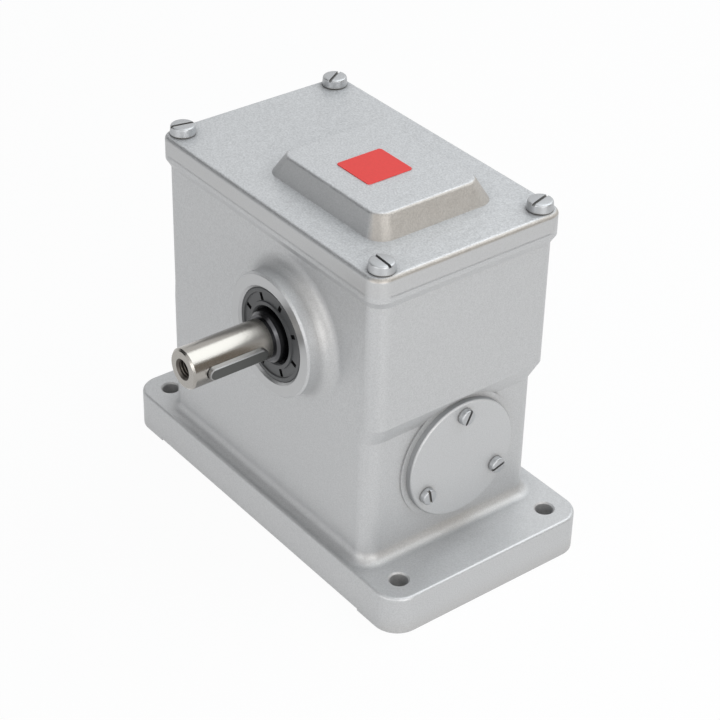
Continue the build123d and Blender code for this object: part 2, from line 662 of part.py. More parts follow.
# Hub with web and lightening holes
with BuildPart() as worm_wheel_hub:
    add(
        turned(
            [
                (HUB_SEAT_R, Y_MESH - HUB_WIDTH / 2),
                (HUB_R, Y_MESH - HUB_WIDTH / 2),
                (HUB_R, Y_MESH - HUB_WEB_T / 2),
                (RIM_BORE_R - 5, Y_MESH - HUB_WEB_T / 2),
                (RIM_BORE_R - 5, Y_MESH - RIM_WIDTH / 2),
                (RIM_BORE_R, Y_MESH - RIM_WIDTH / 2),
                (RIM_BORE_R, Y_MESH + RIM_WIDTH / 2),
                (RIM_BORE_R - 5, Y_MESH + RIM_WIDTH / 2),
                (RIM_BORE_R - 5, Y_MESH + HUB_WEB_T / 2),
                (HUB_R, Y_MESH + HUB_WEB_T / 2),
                (HUB_R, Y_MESH + HUB_WIDTH / 2),
                (HUB_SEAT_R, Y_MESH + HUB_WIDTH / 2),
            ],
            OUT_AXIS,
        )
    )
    add(
        bar_key(8, 7.3, Y_MESH - 20, Y_MESH + 20, HUB_SEAT_R - 4.0, (0, 1, 0), OUT_AXIS),
        mode=Mode.SUBTRACT,
    )
    hub_face = Plane(origin=(X_OUT, Y_MESH - 5, Z_OUT), x_dir=(1, 0, 0), z_dir=(0, -1, 0))
    with BuildSketch(hub_face):
        with PolarLocations((HUB_R + RIM_BORE_R - 5) / 2, 6):
            Circle(4.0)
    extrude(amount=-10, mode=Mode.SUBTRACT)

# Spacer sleeve between hub and rear bearing
with BuildPart() as hub_sleeve:
    add(ring(BEARING_SEAT_R, 15.5, Y_MESH + HUB_WIDTH / 2, OUT_REAR_SHOULDER_Y, OUT_AXIS))

# Sealing ring of the round cover
with BuildPart() as worm_cover_ring:
    add(ring(COVER_RING_R, WORM_BORE_R, COVER_RING_X[0], COVER_RING_X[1], WORM_AXIS))


def bearing_rings(bore_r, outer_r, s0, s1, plane):
    """Shielded ball bearing as (outer ring with shields, inner ring)."""
    width = s1 - s0
    depth = outer_r - bore_r
    land_in = bore_r + 0.28 * depth
    land_out = outer_r - 0.28 * depth
    shield = land_in + 0.5
    outer = turned(
        [
            (outer_r - 0.4, s0),
            (outer_r, s0 + 0.4),
            (outer_r, s1 - 0.4),
            (outer_r - 0.4, s1),
            (land_out, s1),
            (land_out, s1 - 0.5),
            (shield, s1 - 0.5),
            (shield, s1 - 1.0),
            (land_out, s1 - 1.0),
            (land_out, s0 + 1.0),
            (shield, s0 + 1.0),
            (shield, s0 + 0.5),
            (land_out, s0 + 0.5),
            (land_out, s0),
        ],
        plane,
    )
    groove = 0.1 * depth
    middle = s0 + width / 2
    inner = turned(
        [
            (bore_r, s0 + 0.4),
            (bore_r + 0.4, s0),
            (land_in, s0),
            (land_in, middle - 0.25 * width),
            (land_in - groove, middle),
            (land_in, middle + 0.25 * width),
            (land_in, s1),
            (bore_r + 0.4, s1),
            (bore_r, s1 - 0.4),
        ],
        plane,
    )
    return outer, inner


# Ball bearings of the three shafts, outer and inner rings apart
WORM_SEAT_R = 7.5
IN_REAR_SEAT_R = 8.5
IN_FRONT_SEAT_R = 6.0
FRONT_Y = OUT_FRONT_SHOULDER_Y - OUT_BEARING_T
REAR_Y = OUT_REAR_SHOULDER_Y + OUT_BEARING_T
output_front = bearing_rings(BEARING_SEAT_R, OUT_BORE_R, FRONT_Y, OUT_FRONT_SHOULDER_Y, OUT_AXIS)
output_rear = bearing_rings(BEARING_SEAT_R, OUT_BORE_R, OUT_REAR_SHOULDER_Y, REAR_Y, OUT_AXIS)
FRONT_X = WORM_SHOULDER_X + WORM_BEARING_T
worm_front = bearing_rings(WORM_SEAT_R, WORM_BORE_R, WORM_SHOULDER_X, FRONT_X, WORM_AXIS)
worm_rear = bearing_rings(WORM_SEAT_R, WORM_BORE_R, WORM_POCKET_X[0], WORM_POCKET_X[1], WORM_AXIS)
IN_REAR_Y = IN_SHOULDER_Y + IN_BEARING_T
input_rear = bearing_rings(IN_REAR_SEAT_R, IN_BORE_R, IN_SHOULDER_Y, IN_REAR_Y, IN_AXIS)
input_front = bearing_rings(IN_FRONT_SEAT_R, IN_POCKET_R, IN_POCKET_Y[0], IN_POCKET_Y[1], IN_AXIS)

with BuildPart() as output_bearing_outers:
    add(output_front[0])
    add(output_rear[0])
with BuildPart() as output_bearing_inners:
    add(output_front[1])
    add(output_rear[1])
with BuildPart() as worm_bearing_outers:
    add(worm_front[0])
    add(worm_rear[0])
with BuildPart() as worm_bearing_inners:
    add(worm_front[1])
    add(worm_rear[1])
with BuildPart() as input_bearing_outers:
    add(input_rear[0])
    add(input_front[0])
with BuildPart() as input_bearing_inners:
    add(input_rear[1])
    add(input_front[1])

# Closing cap behind the rear output bearing
CAP_Y = (UP_Y[1] - 5.7, UP_Y[1] - 0.7)
CAP_T = 1.5
with BuildPart() as rear_cap:
    add(
        turned(
            [
                (OUT_BORE_R - CAP_T, CAP_Y[0]),
                (OUT_BORE_R, CAP_Y[0]),
                (OUT_BORE_R, CAP_Y[1] - 1.0),
                (OUT_BORE_R - 1.0, CAP_Y[1]),
                (0, CAP_Y[1]),
                (0, CAP_Y[1] - CAP_T),
                (OUT_BORE_R - CAP_T, CAP_Y[1] - CAP_T),
            ],
            OUT_AXIS,
        )
    )

# Second-stage worm shaft
WORM_COLLAR_R = 10.5
WORM_END_X = (WORM_POCKET_X[0] + 0.4, WORM_SHOULDER_X + 10.6)
WORM_END_CHAMFER = 0.8
WORM_2_ROOT_R = WORM_2_R - DEDENDUM * MODULE_2
LEAD_2 = math.pi * MODULE_2 * STARTS_2
FIRST_X = (X_FIRST - FIRST_WIDTH / 2, X_FIRST + FIRST_WIDTH / 2)
with BuildPart() as worm_shaft:
    add(
        turned(
            [
                (0, WORM_END_X[0]),
                (WORM_SEAT_R - WORM_END_CHAMFER, WORM_END_X[0]),
                (WORM_SEAT_R, WORM_END_X[0] + WORM_END_CHAMFER),
                (WORM_SEAT_R, WORM_POCKET_X[1]),
                (FIRST_BORE_R, WORM_POCKET_X[1]),
                (FIRST_BORE_R, FIRST_X[1]),
                (WORM_COLLAR_R, FIRST_X[1]),
                (WORM_COLLAR_R, FIRST_X[1] + 8),
                (WORM_2_ROOT_R, FIRST_X[1] + 10),
                (WORM_2_ROOT_R, WORM_SHOULDER_X - 12.0),
                (WORM_COLLAR_R - 1, WORM_SHOULDER_X - 10.0),
                (WORM_COLLAR_R - 1, WORM_SHOULDER_X),
                (WORM_SEAT_R, WORM_SHOULDER_X),
                (WORM_SEAT_R, WORM_END_X[1] - WORM_END_CHAMFER),
                (WORM_SEAT_R - WORM_END_CHAMFER, WORM_END_X[1]),
                (0, WORM_END_X[1]),
            ],
            WORM_AXIS,
        )
    )
    add(
        worm_thread(
            MODULE_2,
            WORM_2_R,
            STARTS_2,
            WORM_2_TURNS,
            FLANK_GAP_2,
            X_OUT - WORM_2_TURNS / 2 * LEAD_2,
            WORM_AXIS,
        )
    )
    add(
        bar_key(5, 8, X_FIRST - 7, X_FIRST + 7, FIRST_BORE_R - 3.0, (1, 0, 0), WORM_AXIS),
        mode=Mode.SUBTRACT,
    )
first_wheel_key = bar_key(4.96, 5.0, X_FIRST - 7, X_FIRST + 7, FIRST_BORE_R - 3.0, (1, 0, 0), WORM_AXIS)

# First-stage bronze wheel with recessed sides
with BuildPart() as first_wheel:
    first_lean = math.atan(MODULE_1 * STARTS_1 / (2 * WORM_1_R))
    for side in (-1, 1):
        twist = side * FIRST_WIDTH / 2 * math.tan(first_lean) / (MODULE_1 * TEETH_1 / 2)
        section = Plane(
            origin=(X_FIRST + side * FIRST_WIDTH / 2, Y_MESH, Z_WORM), x_dir=(0, 1, 0), z_dir=(1, 0, 0)
        )
        with BuildSketch(section):
            gear_outline(MODULE_1, TEETH_1, FLANK_GAP_1, math.pi / 2 + twist)
    loft(ruled=True)
    add(ring(0, FIRST_BORE_R, FIRST_X[0] - 1, FIRST_X[1] + 1, WORM_AXIS), mode=Mode.SUBTRACT)
    add(ring(12.5, 18.5, FIRST_X[0] - 1, FIRST_X[0] + 4, WORM_AXIS), mode=Mode.SUBTRACT)
    add(ring(12.5, 18.5, FIRST_X[1] - 4, FIRST_X[1] + 1, WORM_AXIS), mode=Mode.SUBTRACT)
    add(
        bar_key(5, 5.3, X_FIRST - 20, X_FIRST + 20, FIRST_BORE_R - 3.0, (1, 0, 0), WORM_AXIS),
        mode=Mode.SUBTRACT,
    )

# Spacer sleeve between the bearing and the first wheel
with BuildPart() as worm_sleeve:
    add(ring(FIRST_BORE_R, 11.0, WORM_POCKET_X[1], FIRST_X[0], WORM_AXIS))

# Input worm with hollow end for the motor shaft
INPUT_END_Y = PAD_Y - 4.0
INPUT_BORE_R = 4.5
INPUT_BORE_L = 23.0
INPUT_KEYWAY_W = 3.0
WORM_1_ROOT_R = WORM_1_R - DEDENDUM * MODULE_1
LEAD_1 = math.pi * MODULE_1 * STARTS_1
with BuildPart() as input_worm:
    add(
        turned(
            [
                (0, IN_POCKET_Y[0] + 0.6),
                (IN_FRONT_SEAT_R - 0.6, IN_POCKET_Y[0] + 0.6),
                (IN_FRONT_SEAT_R, IN_POCKET_Y[0] + 1.2),
                (IN_FRONT_SEAT_R, IN_POCKET_Y[1]),
                (IN_REAR_SEAT_R, IN_POCKET_Y[1]),
                (IN_REAR_SEAT_R, -22.0),
                (WORM_1_ROOT_R, -20.0),
                (WORM_1_ROOT_R, 25.0),
                (10.2, 26.0),
                (10.2, IN_SHOULDER_Y),
                (IN_REAR_SEAT_R, IN_SHOULDER_Y),
                (IN_REAR_SEAT_R, INPUT_END_Y - 0.6),
                (IN_REAR_SEAT_R - 0.6, INPUT_END_Y),
                (INPUT_BORE_R, INPUT_END_Y),
                (INPUT_BORE_R, INPUT_END_Y - INPUT_BORE_L),
                (0, INPUT_END_Y - INPUT_BORE_L - 2.5),
            ],
            IN_AXIS,
        )
    )
    add(
        worm_thread(
            MODULE_1,
            WORM_1_R,
            STARTS_1,
            WORM_1_TURNS,
            FLANK_GAP_1,
            Y_MESH - WORM_1_TURNS / 2 * LEAD_1,
            IN_AXIS,
        )
    )
    with BuildSketch(Plane(origin=(X_FIRST, INPUT_END_Y, Z_IN), x_dir=(1, 0, 0), z_dir=(0, 1, 0))):
        with Locations((0, 3)):
            Rectangle(INPUT_KEYWAY_W, 5.8)
    extrude(amount=-18, mode=Mode.SUBTRACT)

# Input shaft seal and retaining ring
IN_SEAL_Y = (PAD_Y - 9.6, PAD_Y - 3.1)
with BuildPart() as input_seal:
    add(
        turned(
            [
                (IN_BORE_R, IN_SEAL_Y[0]),
                (15.8, IN_SEAL_Y[0]),
                (15.8, IN_SEAL_Y[0] + 4.2),
                (11.5, IN_SEAL_Y[0] + 4.2),
                (9.8, IN_SEAL_Y[0] + 1.4),
                (8.56, IN_SEAL_Y[0] + 2.4),
                (8.56, IN_SEAL_Y[0] + 2.9),
                (10.2, IN_SEAL_Y[1] - 0.4),
                (15.2, IN_SEAL_Y[1] - 0.4),
                (15.6, IN_SEAL_Y[1]),
                (IN_BORE_R - 0.5, IN_SEAL_Y[1]),
                (IN_BORE_R, IN_SEAL_Y[1] - 0.5),
            ],
            IN_AXIS,
        )
    )
with BuildPart() as input_circlip:
    add(ring(15.4, CIRCLIP_GROOVE_R - 0.1, CIRCLIP_Y[0] + 0.02, CIRCLIP_Y[1] - 0.02, IN_AXIS))
    gap_face = Plane(origin=(X_FIRST, CIRCLIP_Y[1], Z_IN), x_dir=(1, 0, 0), z_dir=(0, 1, 0))
    with BuildSketch(gap_face):
        with Locations((0, -17)):
            Rectangle(6, 8)
    extrude(amount=-3, mode=Mode.SUBTRACT)

pieces = {
    "housing": housing.part,
    "top_cover": top_cover.part,
    "cover_gasket": cover_gasket.part,
    "cover_screws": cover_screws.part,
    "worm_cover": worm_cover.part,
    "worm_cover_screws": worm_cover_screws.part,
    "worm_cover_ring": worm_cover_ring.part,
    "rating_label": rating_label.part,
    "output_seal": output_seal.part,
    "output_shaft": output_shaft.part,
    "output_key": output_key,
    "wheel_key": wheel_key,
    "worm_wheel_rim": worm_wheel_rim.part,
    "worm_wheel_hub": worm_wheel_hub.part,
    "hub_sleeve": hub_sleeve.part,
    "output_bearing_outers": output_bearing_outers.part,
    "output_bearing_inners": output_bearing_inners.part,
    "rear_cap": rear_cap.part,
    "worm_shaft": worm_shaft.part,
    "first_wheel": first_wheel.part,
    "first_wheel_key": first_wheel_key,
    "worm_sleeve": worm_sleeve.part,
    "worm_bearing_outers": worm_bearing_outers.part,
    "worm_bearing_inners": worm_bearing_inners.part,
    "input_worm": input_worm.part,
    "input_bearing_outers": input_bearing_outers.part,
    "input_bearing_inners": input_bearing_inners.part,
    "input_seal": input_seal.part,
    "input_circlip": input_circlip.part,
}
for piece_name, piece in pieces.items():
    piece.label = piece_name
    export_step(piece, f"parts/{piece_name}.step")
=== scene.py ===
import json
import math

import bpy
from mathutils import Matrix, Vector


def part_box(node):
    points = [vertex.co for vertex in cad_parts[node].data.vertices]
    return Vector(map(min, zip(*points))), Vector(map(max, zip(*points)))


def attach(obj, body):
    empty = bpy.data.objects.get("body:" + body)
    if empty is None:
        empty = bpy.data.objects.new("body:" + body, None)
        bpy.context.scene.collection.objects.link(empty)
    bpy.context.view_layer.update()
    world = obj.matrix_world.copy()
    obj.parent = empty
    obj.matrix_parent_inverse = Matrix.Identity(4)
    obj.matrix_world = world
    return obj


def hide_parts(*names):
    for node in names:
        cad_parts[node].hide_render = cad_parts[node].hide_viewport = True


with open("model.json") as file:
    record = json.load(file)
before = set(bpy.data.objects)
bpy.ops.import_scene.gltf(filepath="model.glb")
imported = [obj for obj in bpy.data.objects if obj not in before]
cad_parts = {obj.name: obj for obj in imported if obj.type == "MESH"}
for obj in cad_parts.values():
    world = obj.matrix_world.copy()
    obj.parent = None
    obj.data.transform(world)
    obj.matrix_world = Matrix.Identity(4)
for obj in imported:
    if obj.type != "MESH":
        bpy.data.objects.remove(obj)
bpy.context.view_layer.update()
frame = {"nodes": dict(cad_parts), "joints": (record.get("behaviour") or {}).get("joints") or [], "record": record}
nodes = frame["nodes"]

# Housing: one aluminium casting with its foot flange, output boss, bearing seats and
# motor pad, sprayed with silver paint over the cast grain. The boss face, the motor pad
# and the underside of the foot are turned or milled bare after painting.
NUMBER = "NodeSocketFloat"
VECTOR = "NodeSocketVector"
COLOUR = "NodeSocketColor"


def fit_node(tree, kind, sockets=None, **settings):
    """Adds a node. A socket given as a value is linked, and anything else is set."""
    made = tree.nodes.new(kind)
    for key, value in settings.items():
        setattr(made, key, value)
    for key, value in (sockets or {}).items():
        if isinstance(value, bpy.types.NodeSocket):
            tree.links.new(value, made.inputs[key])
        else:
            made.inputs[key].default_value = value
    return made


def calculate(tree, operation, *values):
    """The result of one Math node."""
    return fit_node(tree, "ShaderNodeMath", dict(enumerate(values)), operation=operation).outputs[0]


def rise_between(tree, value, start, end, least=0.0, most=1.0):
    """Goes from least to most as a value goes from start to end."""
    return fit_node(
        tree, "ShaderNodeMapRange",
        {"Value": value, "From Min": start, "From Max": end, "To Min": least, "To Max": most},
    ).outputs["Result"]


def mix_numbers(tree, share, first, second):
    """Goes from the first number to the second with a share."""
    return fit_node(tree, "ShaderNodeMix", {"Factor": share, "A": first, "B": second}).outputs["Result"]


def mix_colours(tree, share, first, second, blend_type="MIX"):
    """Goes from the first colour to the second with a share, or to their product."""
    return fit_node(
        tree, "ShaderNodeMix", {"Factor": share, "A": first, "B": second},
        data_type="RGBA", blend_type=blend_type,
    ).outputs["Result"]


def parts_of(tree, vector):
    """The X, Y and Z of a vector."""
    return fit_node(tree, "ShaderNodeSeparateXYZ", {"Vector": vector}).outputs


def open_group(name, kind, takes, gives):
    """Starts a node group with named inputs (kind, value) and named outputs."""
    group = bpy.data.node_groups.new(name, kind)
    for label, (socket_type, value) in takes.items():
        socket = group.interface.new_socket(name=label, in_out="INPUT", socket_type=socket_type)
        if value is not None:
            socket.default_value = value
    for label, socket_type in gives.items():
        group.interface.new_socket(name=label, in_out="OUTPUT", socket_type=socket_type)
    return group, group.nodes.new("NodeGroupInput").outputs


def close_group(group, results):
    """Joins the results to a group's named outputs."""
    fit_node(group, "NodeGroupOutput", results)


# The grain that sprayed castings show: a fine speckle of metal flake on a slow orange peel.
cast_grain, taken = open_group(
    "cast_paint_grain",
    "ShaderNodeTree",
    {
        "Grain Scale": (NUMBER, 1400.0),
        "Peel Scale": (NUMBER, 160.0),
        "Speckle": (NUMBER, 0.14),
        "Upright Share": (NUMBER, 1.0),
    },
    {"Tone": NUMBER, "Height": NUMBER},
)
peel_weight = 2.2
middle_height = -1.6
place = fit_node(cast_grain, "ShaderNodeTexCoord").outputs["Object"]
flake = fit_node(
    cast_grain, "ShaderNodeTexNoise",
    {"Vector": place, "Scale": taken["Grain Scale"], "Detail": 2.0, "Roughness": 0.6},
).outputs["Fac"]
peel = fit_node(
    cast_grain, "ShaderNodeTexNoise", {"Vector": place, "Scale": taken["Peel Scale"], "Detail": 2.0}
).outputs["Fac"]
facing = parts_of(cast_grain, fit_node(cast_grain, "ShaderNodeNewGeometry").outputs["Normal"])
grain_share = rise_between(cast_grain, facing["Z"], 0.30, 0.80, least=taken["Upright Share"])
speckle_here = calculate(cast_grain, "MULTIPLY", taken["Speckle"], grain_share)
darkest = calculate(cast_grain, "SUBTRACT", 1.0, speckle_here)
tone = rise_between(cast_grain, flake, 0.32, 0.68, least=darkest)
peeled = calculate(cast_grain, "MULTIPLY_ADD", peel, peel_weight, middle_height)
grained = calculate(cast_grain, "ADD", peeled, flake)
height = calculate(cast_grain, "MULTIPLY", grained, grain_share)
close_group(cast_grain, {"Tone": tone, "Height": height})

# Painted shade on a sprayed casting: a darker grey in fillets and under ledges, found by ambient occlusion, and
# lit and shaded tones of one paint on level, sloped and upright faces, told apart by how far the normal points up,
# from 0 to 1. Towards +X the painted shade and the slopes take a warm painted reflection.
painted_corner_shade, taken = open_group(
    "painted_corner_shade",
    "ShaderNodeTree",
    {
        "Paint": (COLOUR, (0.5, 0.5, 0.5, 1.0)),
        "Sloped Shaded Paint": (COLOUR, (0.5, 0.5, 0.5, 1.0)),
        "Upright Shaded Paint": (COLOUR, (0.5, 0.5, 0.5, 1.0)),
        "Painted Shade": (COLOUR, (0.3, 0.26, 0.22, 1.0)),
        "Reach": (NUMBER, 0.012),
        "Upright Share": (NUMBER, 1.0),
        "Warm Reflection Tint": (COLOUR, (1.0, 0.93, 0.85, 1.0)),
        "Slope Reflection Warmth": (NUMBER, 0.0),
    },
    {"Colour": COLOUR, "Share": NUMBER},
)
open_share = fit_node(
    painted_corner_shade, "ShaderNodeAmbientOcclusion", {"Distance": taken["Reach"]}, samples=8
).outputs["AO"]
facing = parts_of(painted_corner_shade, fit_node(painted_corner_shade, "ShaderNodeNewGeometry").outputs["Normal"])
in_corner = rise_between(painted_corner_shade, open_share, 0.95, 0.50)
shade_facing = rise_between(painted_corner_shade, facing["Z"], 0.02, 0.30, least=taken["Upright Share"])
corner_shade_share = calculate(painted_corner_shade, "MULTIPLY", in_corner, shade_facing)
lies_level = rise_between(painted_corner_shade, facing["Z"], 0.80, 0.97)
slopes = rise_between(painted_corner_shade, facing["Z"], 0.12, 0.40)
side_shaded_paint = mix_colours(painted_corner_shade, slopes, taken["Upright Shaded Paint"], taken["Sloped Shaded Paint"])
paint_here = mix_colours(painted_corner_shade, lies_level, side_shaded_paint, taken["Paint"])
shaded = mix_colours(painted_corner_shade, corner_shade_share, paint_here, taken["Painted Shade"])
not_level = calculate(painted_corner_shade, "SUBTRACT", 1.0, lies_level)
sloped_share = calculate(painted_corner_shade, "MULTIPLY", slopes, not_level)
warm_slope_share = calculate(painted_corner_shade, "MULTIPLY", sloped_share, taken["Slope Reflection Warmth"])
shade_share = calculate(painted_corner_shade, "MAXIMUM", corner_shade_share, warm_slope_share)
faces_along = rise_between(painted_corner_shade, facing["X"], 0.10, 0.40)
warm_share = calculate(painted_corner_shade, "MULTIPLY", shade_share, faces_along)
warmed = mix_colours(painted_corner_shade, warm_share, shaded, taken["Warm Reflection Tint"], "MULTIPLY")
close_group(painted_corner_shade, {"Colour": warmed, "Share": corner_shade_share})

# Ring marks of a lathe tool about any axis, with the distance from the axis and along it.
turning_marks, taken = open_group(
    "turning_marks",
    "ShaderNodeTree",
    {
        "Centre": (VECTOR, (0.0, 0.0, 0.0)),
        "Axis": (VECTOR, (0.0, 1.0, 0.0)),
        "Mark Scale": (NUMBER, 3000.0),
    },
    {"Height": NUMBER, "Radius": NUMBER, "Along": NUMBER},
)
place = fit_node(turning_marks, "ShaderNodeTexCoord").outputs["Object"]
offset = fit_node(
    turning_marks, "ShaderNodeVectorMath", {0: place, 1: taken["Centre"]}, operation="SUBTRACT"
).outputs["Vector"]
along = fit_node(
    turning_marks, "ShaderNodeVectorMath", {0: offset, 1: taken["Axis"]}, operation="DOT_PRODUCT"
).outputs["Value"]
lengthwise = fit_node(
    turning_marks, "ShaderNodeVectorMath", {0: taken["Axis"], "Scale": along}, operation="SCALE"
).outputs["Vector"]
outward = fit_node(
    turning_marks, "ShaderNodeVectorMath", {0: offset, 1: lengthwise}, operation="SUBTRACT"
).outputs["Vector"]
radius = fit_node(turning_marks, "ShaderNodeVectorMath", {0: outward}, operation="LENGTH").outputs["Value"]
ring_place = fit_node(turning_marks, "ShaderNodeCombineXYZ", {"X": radius, "Y": along}).outputs["Vector"]
ring_marks = fit_node(
    turning_marks, "ShaderNodeTexNoise",
    {"Vector": ring_place, "Scale": taken["Mark Scale"], "Detail": 3.0, "Roughness": 0.6},
).outputs["Fac"]
close_group(turning_marks, {"Height": ring_marks, "Radius": radius, "Along": along})


def open_material(name, values):
    """A material with one Principled shader, whose sockets get the given plain values."""
    material = bpy.data.materials.new(name)
    material.use_nodes = True
    finish = material.node_tree.nodes["Principled BSDF"].inputs
    for label, value in values.items():
        finish[label].default_value = value
    return material, material.node_tree, finish


def roughen(tree, finish, height, depth):
    """Raises a surface by a pattern of heights, to a depth in metres."""
    bump = fit_node(tree, "ShaderNodeBump", {"Strength": 0.5, "Distance": depth, "Height": height})
    tree.links.new(bump.outputs["Normal"], finish["Normal"])


def silver_paint(
    name, colour, speckle, grain_scale, grain_depth,
    upright_grain=1.0, sloped_shade_colour=None, upright_shade_colour=None,
):
    """Silver paint on a casting: metal flake sheen, speckled tone, painted shade in corners, and shaded tones on
    slopes and sides where they are given.
    """
    shade_tone = 0.62
    shade_upright_share = 0.2
    clean_roughness, shaded_roughness = 0.45, 0.75
    paint, tree, finish = open_material(name, {"Metallic": 0.60})
    grain = fit_node(
        tree, "ShaderNodeGroup",
        {"Grain Scale": grain_scale, "Speckle": speckle, "Upright Share": upright_grain},
        node_tree=cast_grain,
    ).outputs
    corner_shading = fit_node(
        tree, "ShaderNodeGroup",
        {
            "Paint": (*colour, 1.0),
            "Sloped Shaded Paint": (*(sloped_shade_colour or colour), 1.0),
            "Upright Shaded Paint": (*(upright_shade_colour or colour), 1.0),
            "Painted Shade": (*(shade_tone * value for value in colour), 1.0),
            "Upright Share": shade_upright_share,
            "Slope Reflection Warmth": 1.0 if sloped_shade_colour else 0.0,
        },
        node_tree=painted_corner_shade,
    ).outputs
    speckled = mix_colours(tree, 1.0, corner_shading["Colour"], grain["Tone"], "MULTIPLY")
    roughness = mix_numbers(tree, corner_shading["Share"], clean_roughness, shaded_roughness)
    tree.links.new(speckled, finish["Base Color"])
    tree.links.new(roughness, finish["Roughness"])
    roughen(tree, finish, grain["Height"], grain_depth)
    return paint


def feed_of(socket):
    """What a socket takes: the socket that is linked to it, or else its own value."""
    return socket.links[0].from_socket if socket.is_linked else socket.default_value


def show_bare_metal_and_shade(paint, patch_colour, patch_roughness, faces):
    """Mixes a colour into the given faces, for bare metal and for painted shade: (centre, outward axis, radius,
    depth).
    """
    bare_metallic = 0.9
    tree = paint.node_tree
    finish = tree.nodes["Principled BSDF"].inputs
    bare = 0.0
    for centre, axis, face_radius, depth in faces:
        marks = fit_node(tree, "ShaderNodeGroup", {"Centre": centre, "Axis": axis}, node_tree=turning_marks)
        near = calculate(tree, "LESS_THAN", marks.outputs["Radius"], face_radius)
        front = calculate(tree, "GREATER_THAN", marks.outputs["Along"], -depth)
        bare = calculate(tree, "MAXIMUM", calculate(tree, "MULTIPLY", near, front), bare)
    colour = mix_colours(tree, bare, feed_of(finish["Base Color"]), (*patch_colour, 1.0))
    metallic = mix_numbers(tree, bare, finish["Metallic"].default_value, bare_metallic)
    roughness = mix_numbers(tree, bare, feed_of(finish["Roughness"]), patch_roughness)
    tree.links.new(colour, finish["Base Color"])
    tree.links.new(metallic, finish["Metallic"])
    tree.links.new(roughness, finish["Roughness"])


def dress(node_name, material):
    """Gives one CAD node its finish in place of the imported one."""
    mesh = nodes[node_name].data
    mesh.materials.clear()
    mesh.materials.append(material)


joint_places = {joint["name"]: joint["pos_m"] for joint in frame["joints"]}
mount_places = {mount["name"]: mount["pos_m"] for mount in frame["record"]["mounts"]}
shaft_x, shaft_y, shaft_z = joint_places["output_spin"]
along_x = (1.0, 0.0, 0.0)
along_y = (0.0, 1.0, 0.0)
to_front = (0.0, -1.0, 0.0)
downward = (0.0, 0.0, -1.0)
boss_face = (shaft_x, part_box("housing")[0][1], shaft_z)
boss_face_radius = 0.0302
seal_seat_radius = 0.0250
seal_seat_depth = 0.0300
motor_pad_radius = 0.0375
foot_reach = 0.2000
skin_depth = 0.0001
# The housing's paint carries painted shade in its fillets and under its ledges.
housing_paint = silver_paint(
    "housing_silver_paint", (0.56, 0.565, 0.57), speckle=0.16, grain_scale=1500.0, grain_depth=0.00014
)
show_bare_metal_and_shade(
    housing_paint,
    (0.46, 0.465, 0.47),
    0.38,
    [
        (boss_face, to_front, boss_face_radius, skin_depth),
        (boss_face, to_front, seal_seat_radius, seal_seat_depth),
        (mount_places["motor_bolts"], along_y, motor_pad_radius, skin_depth),
        ((0.0, 0.0, 0.0), downward, foot_reach, 2 * skin_depth),
    ],
)
dress("housing", housing_paint)

# Worm shaft group: ground case-hardened steel shaft between two ball bearings, with the
# bronze first wheel keyed on it against a distance sleeve.


def turned_metal(name, line, colour, roughness, mark_scale, mark_depth, metallic=1.0):
    """Metal with fine ring marks about a line, which is given by its centre and its axis."""
    metal, tree, finish = open_material(
        name, {"Base Color": (*colour, 1.0), "Metallic": metallic, "Roughness": roughness}
    )
    marks = fit_node(tree, "ShaderNodeGroup", {**line, "Mark Scale": mark_scale}, node_tree=turning_marks)
    roughen(tree, finish, marks.outputs["Height"], mark_depth)
    return metal


def drawn_steel(name, colour, roughness, run):
    """Bright drawn key steel, with fine lines along the axis on which the run is small."""
    line_depth = 0.00002
    key_steel, tree, finish = open_material(
        name, {"Base Color": (*colour, 1.0), "Metallic": 1.0, "Roughness": roughness}
    )
    place = fit_node(tree, "ShaderNodeTexCoord").outputs["Object"]
    drawn = fit_node(tree, "ShaderNodeMapping", {"Vector": place, "Scale": run}).outputs["Vector"]
    lines = fit_node(tree, "ShaderNodeTexNoise", {"Vector": drawn, "Scale": 2400.0, "Detail": 2.0})
    roughen(tree, finish, lines.outputs["Fac"], line_depth)
    return key_steel


worm_line = {"Centre": joint_places["worm_spin"], "Axis": along_x}
steel = (0.56, 0.56, 0.57)
ground_steel = {"colour": steel, "roughness": 0.22, "mark_scale": 2600.0, "mark_depth": 0.00002}
sleeve_steel = {"colour": steel, "roughness": 0.35, "mark_scale": 1800.0, "mark_depth": 0.00003}
race_steel = {"colour": (0.60, 0.60, 0.61), "roughness": 0.18, "mark_scale": 3600.0, "mark_depth": 0.00001}
wheel_bronze = {"colour": (0.66, 0.44, 0.20), "mark_scale": 2200.0, "mark_depth": 0.00003}
drawn_along_x = (0.05, 1.0, 1.0)
dress("worm_shaft", turned_metal("worm_shaft_ground_steel", worm_line, **ground_steel))
dress("first_wheel", turned_metal("first_wheel_bronze", worm_line, roughness=0.32, **wheel_bronze))
dress("first_wheel_key", drawn_steel("first_wheel_key_steel", steel, 0.35, drawn_along_x))
dress("worm_sleeve", turned_metal("worm_sleeve_steel", worm_line, **sleeve_steel))
worm_bearing_finish = turned_metal("worm_bearing_steel", worm_line, **race_steel)
dress("worm_bearing_outers", worm_bearing_finish)
dress("worm_bearing_inners", worm_bearing_finish)

# Input group: hollow input worm of ground steel in two ball bearings, closed towards the
# motor by a moulded rubber lip seal, and held by a black spring ring.


